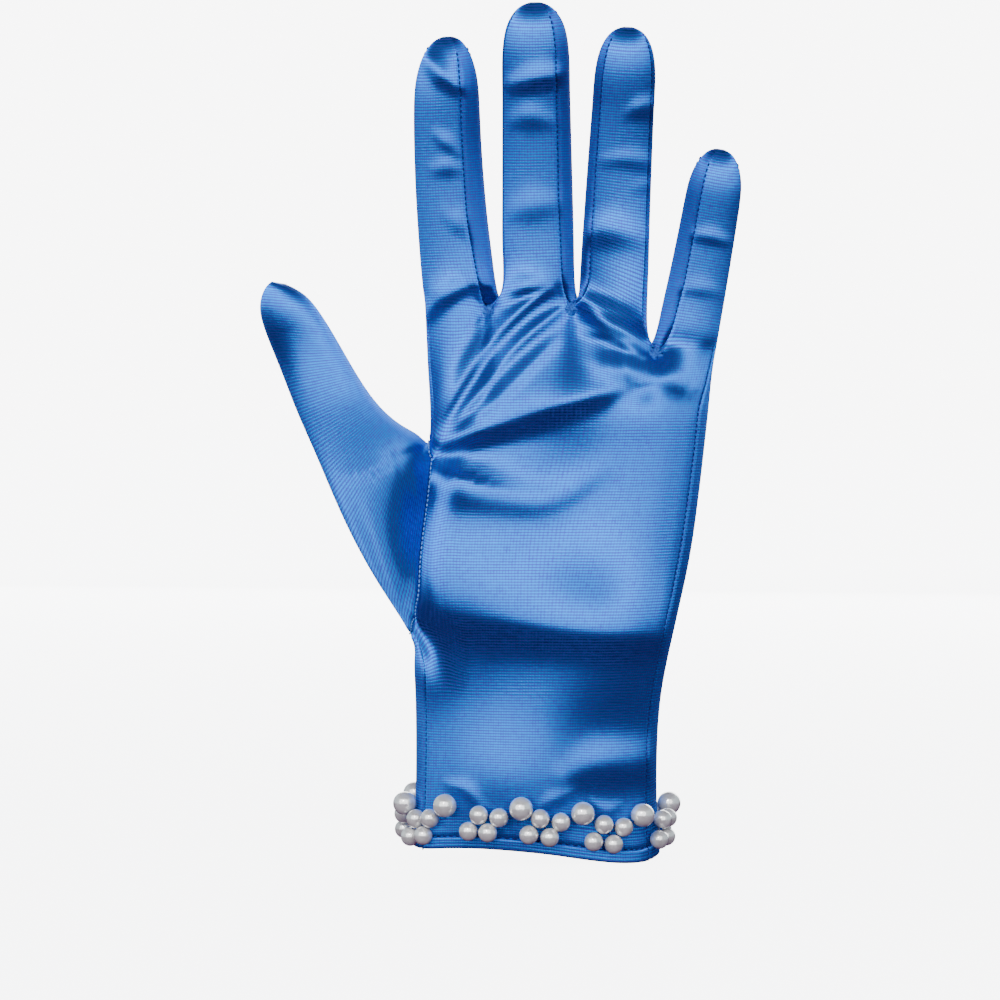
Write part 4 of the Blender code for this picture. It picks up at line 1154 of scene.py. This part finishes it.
floor_mesh.materials.append(pale)
floor.visible_glossy = floor.visible_diffuse = False

# %% The room that the glove mirrors
GROUND, WALL, CEILING = (0.08, 0.014, 0.085, 1), (0.62, 0.76, 0.84, 1), (0.08, 0.05, 0.09, 1)
world = bpy.data.worlds.new("studio")
bpy.context.scene.world = world
world.use_nodes = True
tree = world.node_tree
node = tree.nodes.new
backdrop, room = tree.nodes["Background"], node("ShaderNodeBackground")
socket_values(backdrop, {"Color": (0.99, 0.99, 1, 1), "Strength": 8.0})
socket_values(room, {"Strength": 1.0})
path, mix = node("ShaderNodeLightPath"), node("ShaderNodeMixShader")
around, up = node("ShaderNodeTexCoord"), node("ShaderNodeSeparateXYZ")
height, ramp = node("ShaderNodeMath"), node("ShaderNodeValToRGB")
height.operation = "MULTIPLY_ADD"  # from -1 to 1, down to up, into 0 to 1
height.inputs[1].default_value = height.inputs[2].default_value = 0.5
stops = ramp.color_ramp.elements
stops[0].position, stops[0].color = 0.46, GROUND
stops[1].position, stops[1].color = 0.52, WALL
for where, shade in ((0.78, WALL), (0.90, CEILING)):
    stops.new(where).color = shade
connect(
    tree,
    (around, "Generated", up, 0), (up, "Z", height, 0), (height, 0, ramp, "Fac"),
    (ramp, "Color", room, "Color"), (path, "Is Camera Ray", mix, "Fac"),
    (room, 0, mix, 1), (backdrop, 0, mix, 2), (mix, 0, tree.nodes["World Output"], "Surface"),
)


# %% Lights and camera
def softbox(name, place, aim, width, height, power):
    data = bpy.data.lights.new(name, "AREA")
    data.shape, data.size, data.size_y, data.energy = "RECTANGLE", width, height, power
    o = bpy.data.objects.new(name, data)
    bpy.context.scene.collection.objects.link(o)
    o.location = place
    o.rotation_euler = (Vector(aim) - Vector(place)).to_track_quat("-Z", "Y").to_euler()


softbox("key", (-0.3, -1.5, 0.70), (0, 0, 0.3), 3.0, 1.35, 46)
softbox("back", (0.3, 1.5, 0.6), (0, 0, 0.2), 1.6, 1.1, 26)
softbox("spark", (-0.30, -1.25, 0.75), (0, 0, 0.05), 0.2, 0.2, 5.0)

# The camera stands 1 m in front. Its lens and shifts repeat the framing of the photograph.
camera = bpy.data.objects.new("camera", bpy.data.cameras.new("camera"))
bpy.context.scene.collection.objects.link(camera)
camera.location = (0, -1.0, 0.1118)
camera.rotation_euler = (math.pi / 2, 0, 0)
camera.data.sensor_width, camera.data.lens = 36, 136.26
camera.data.shift_x, camera.data.shift_y = -0.0370, -0.0665
bpy.context.scene.camera = camera
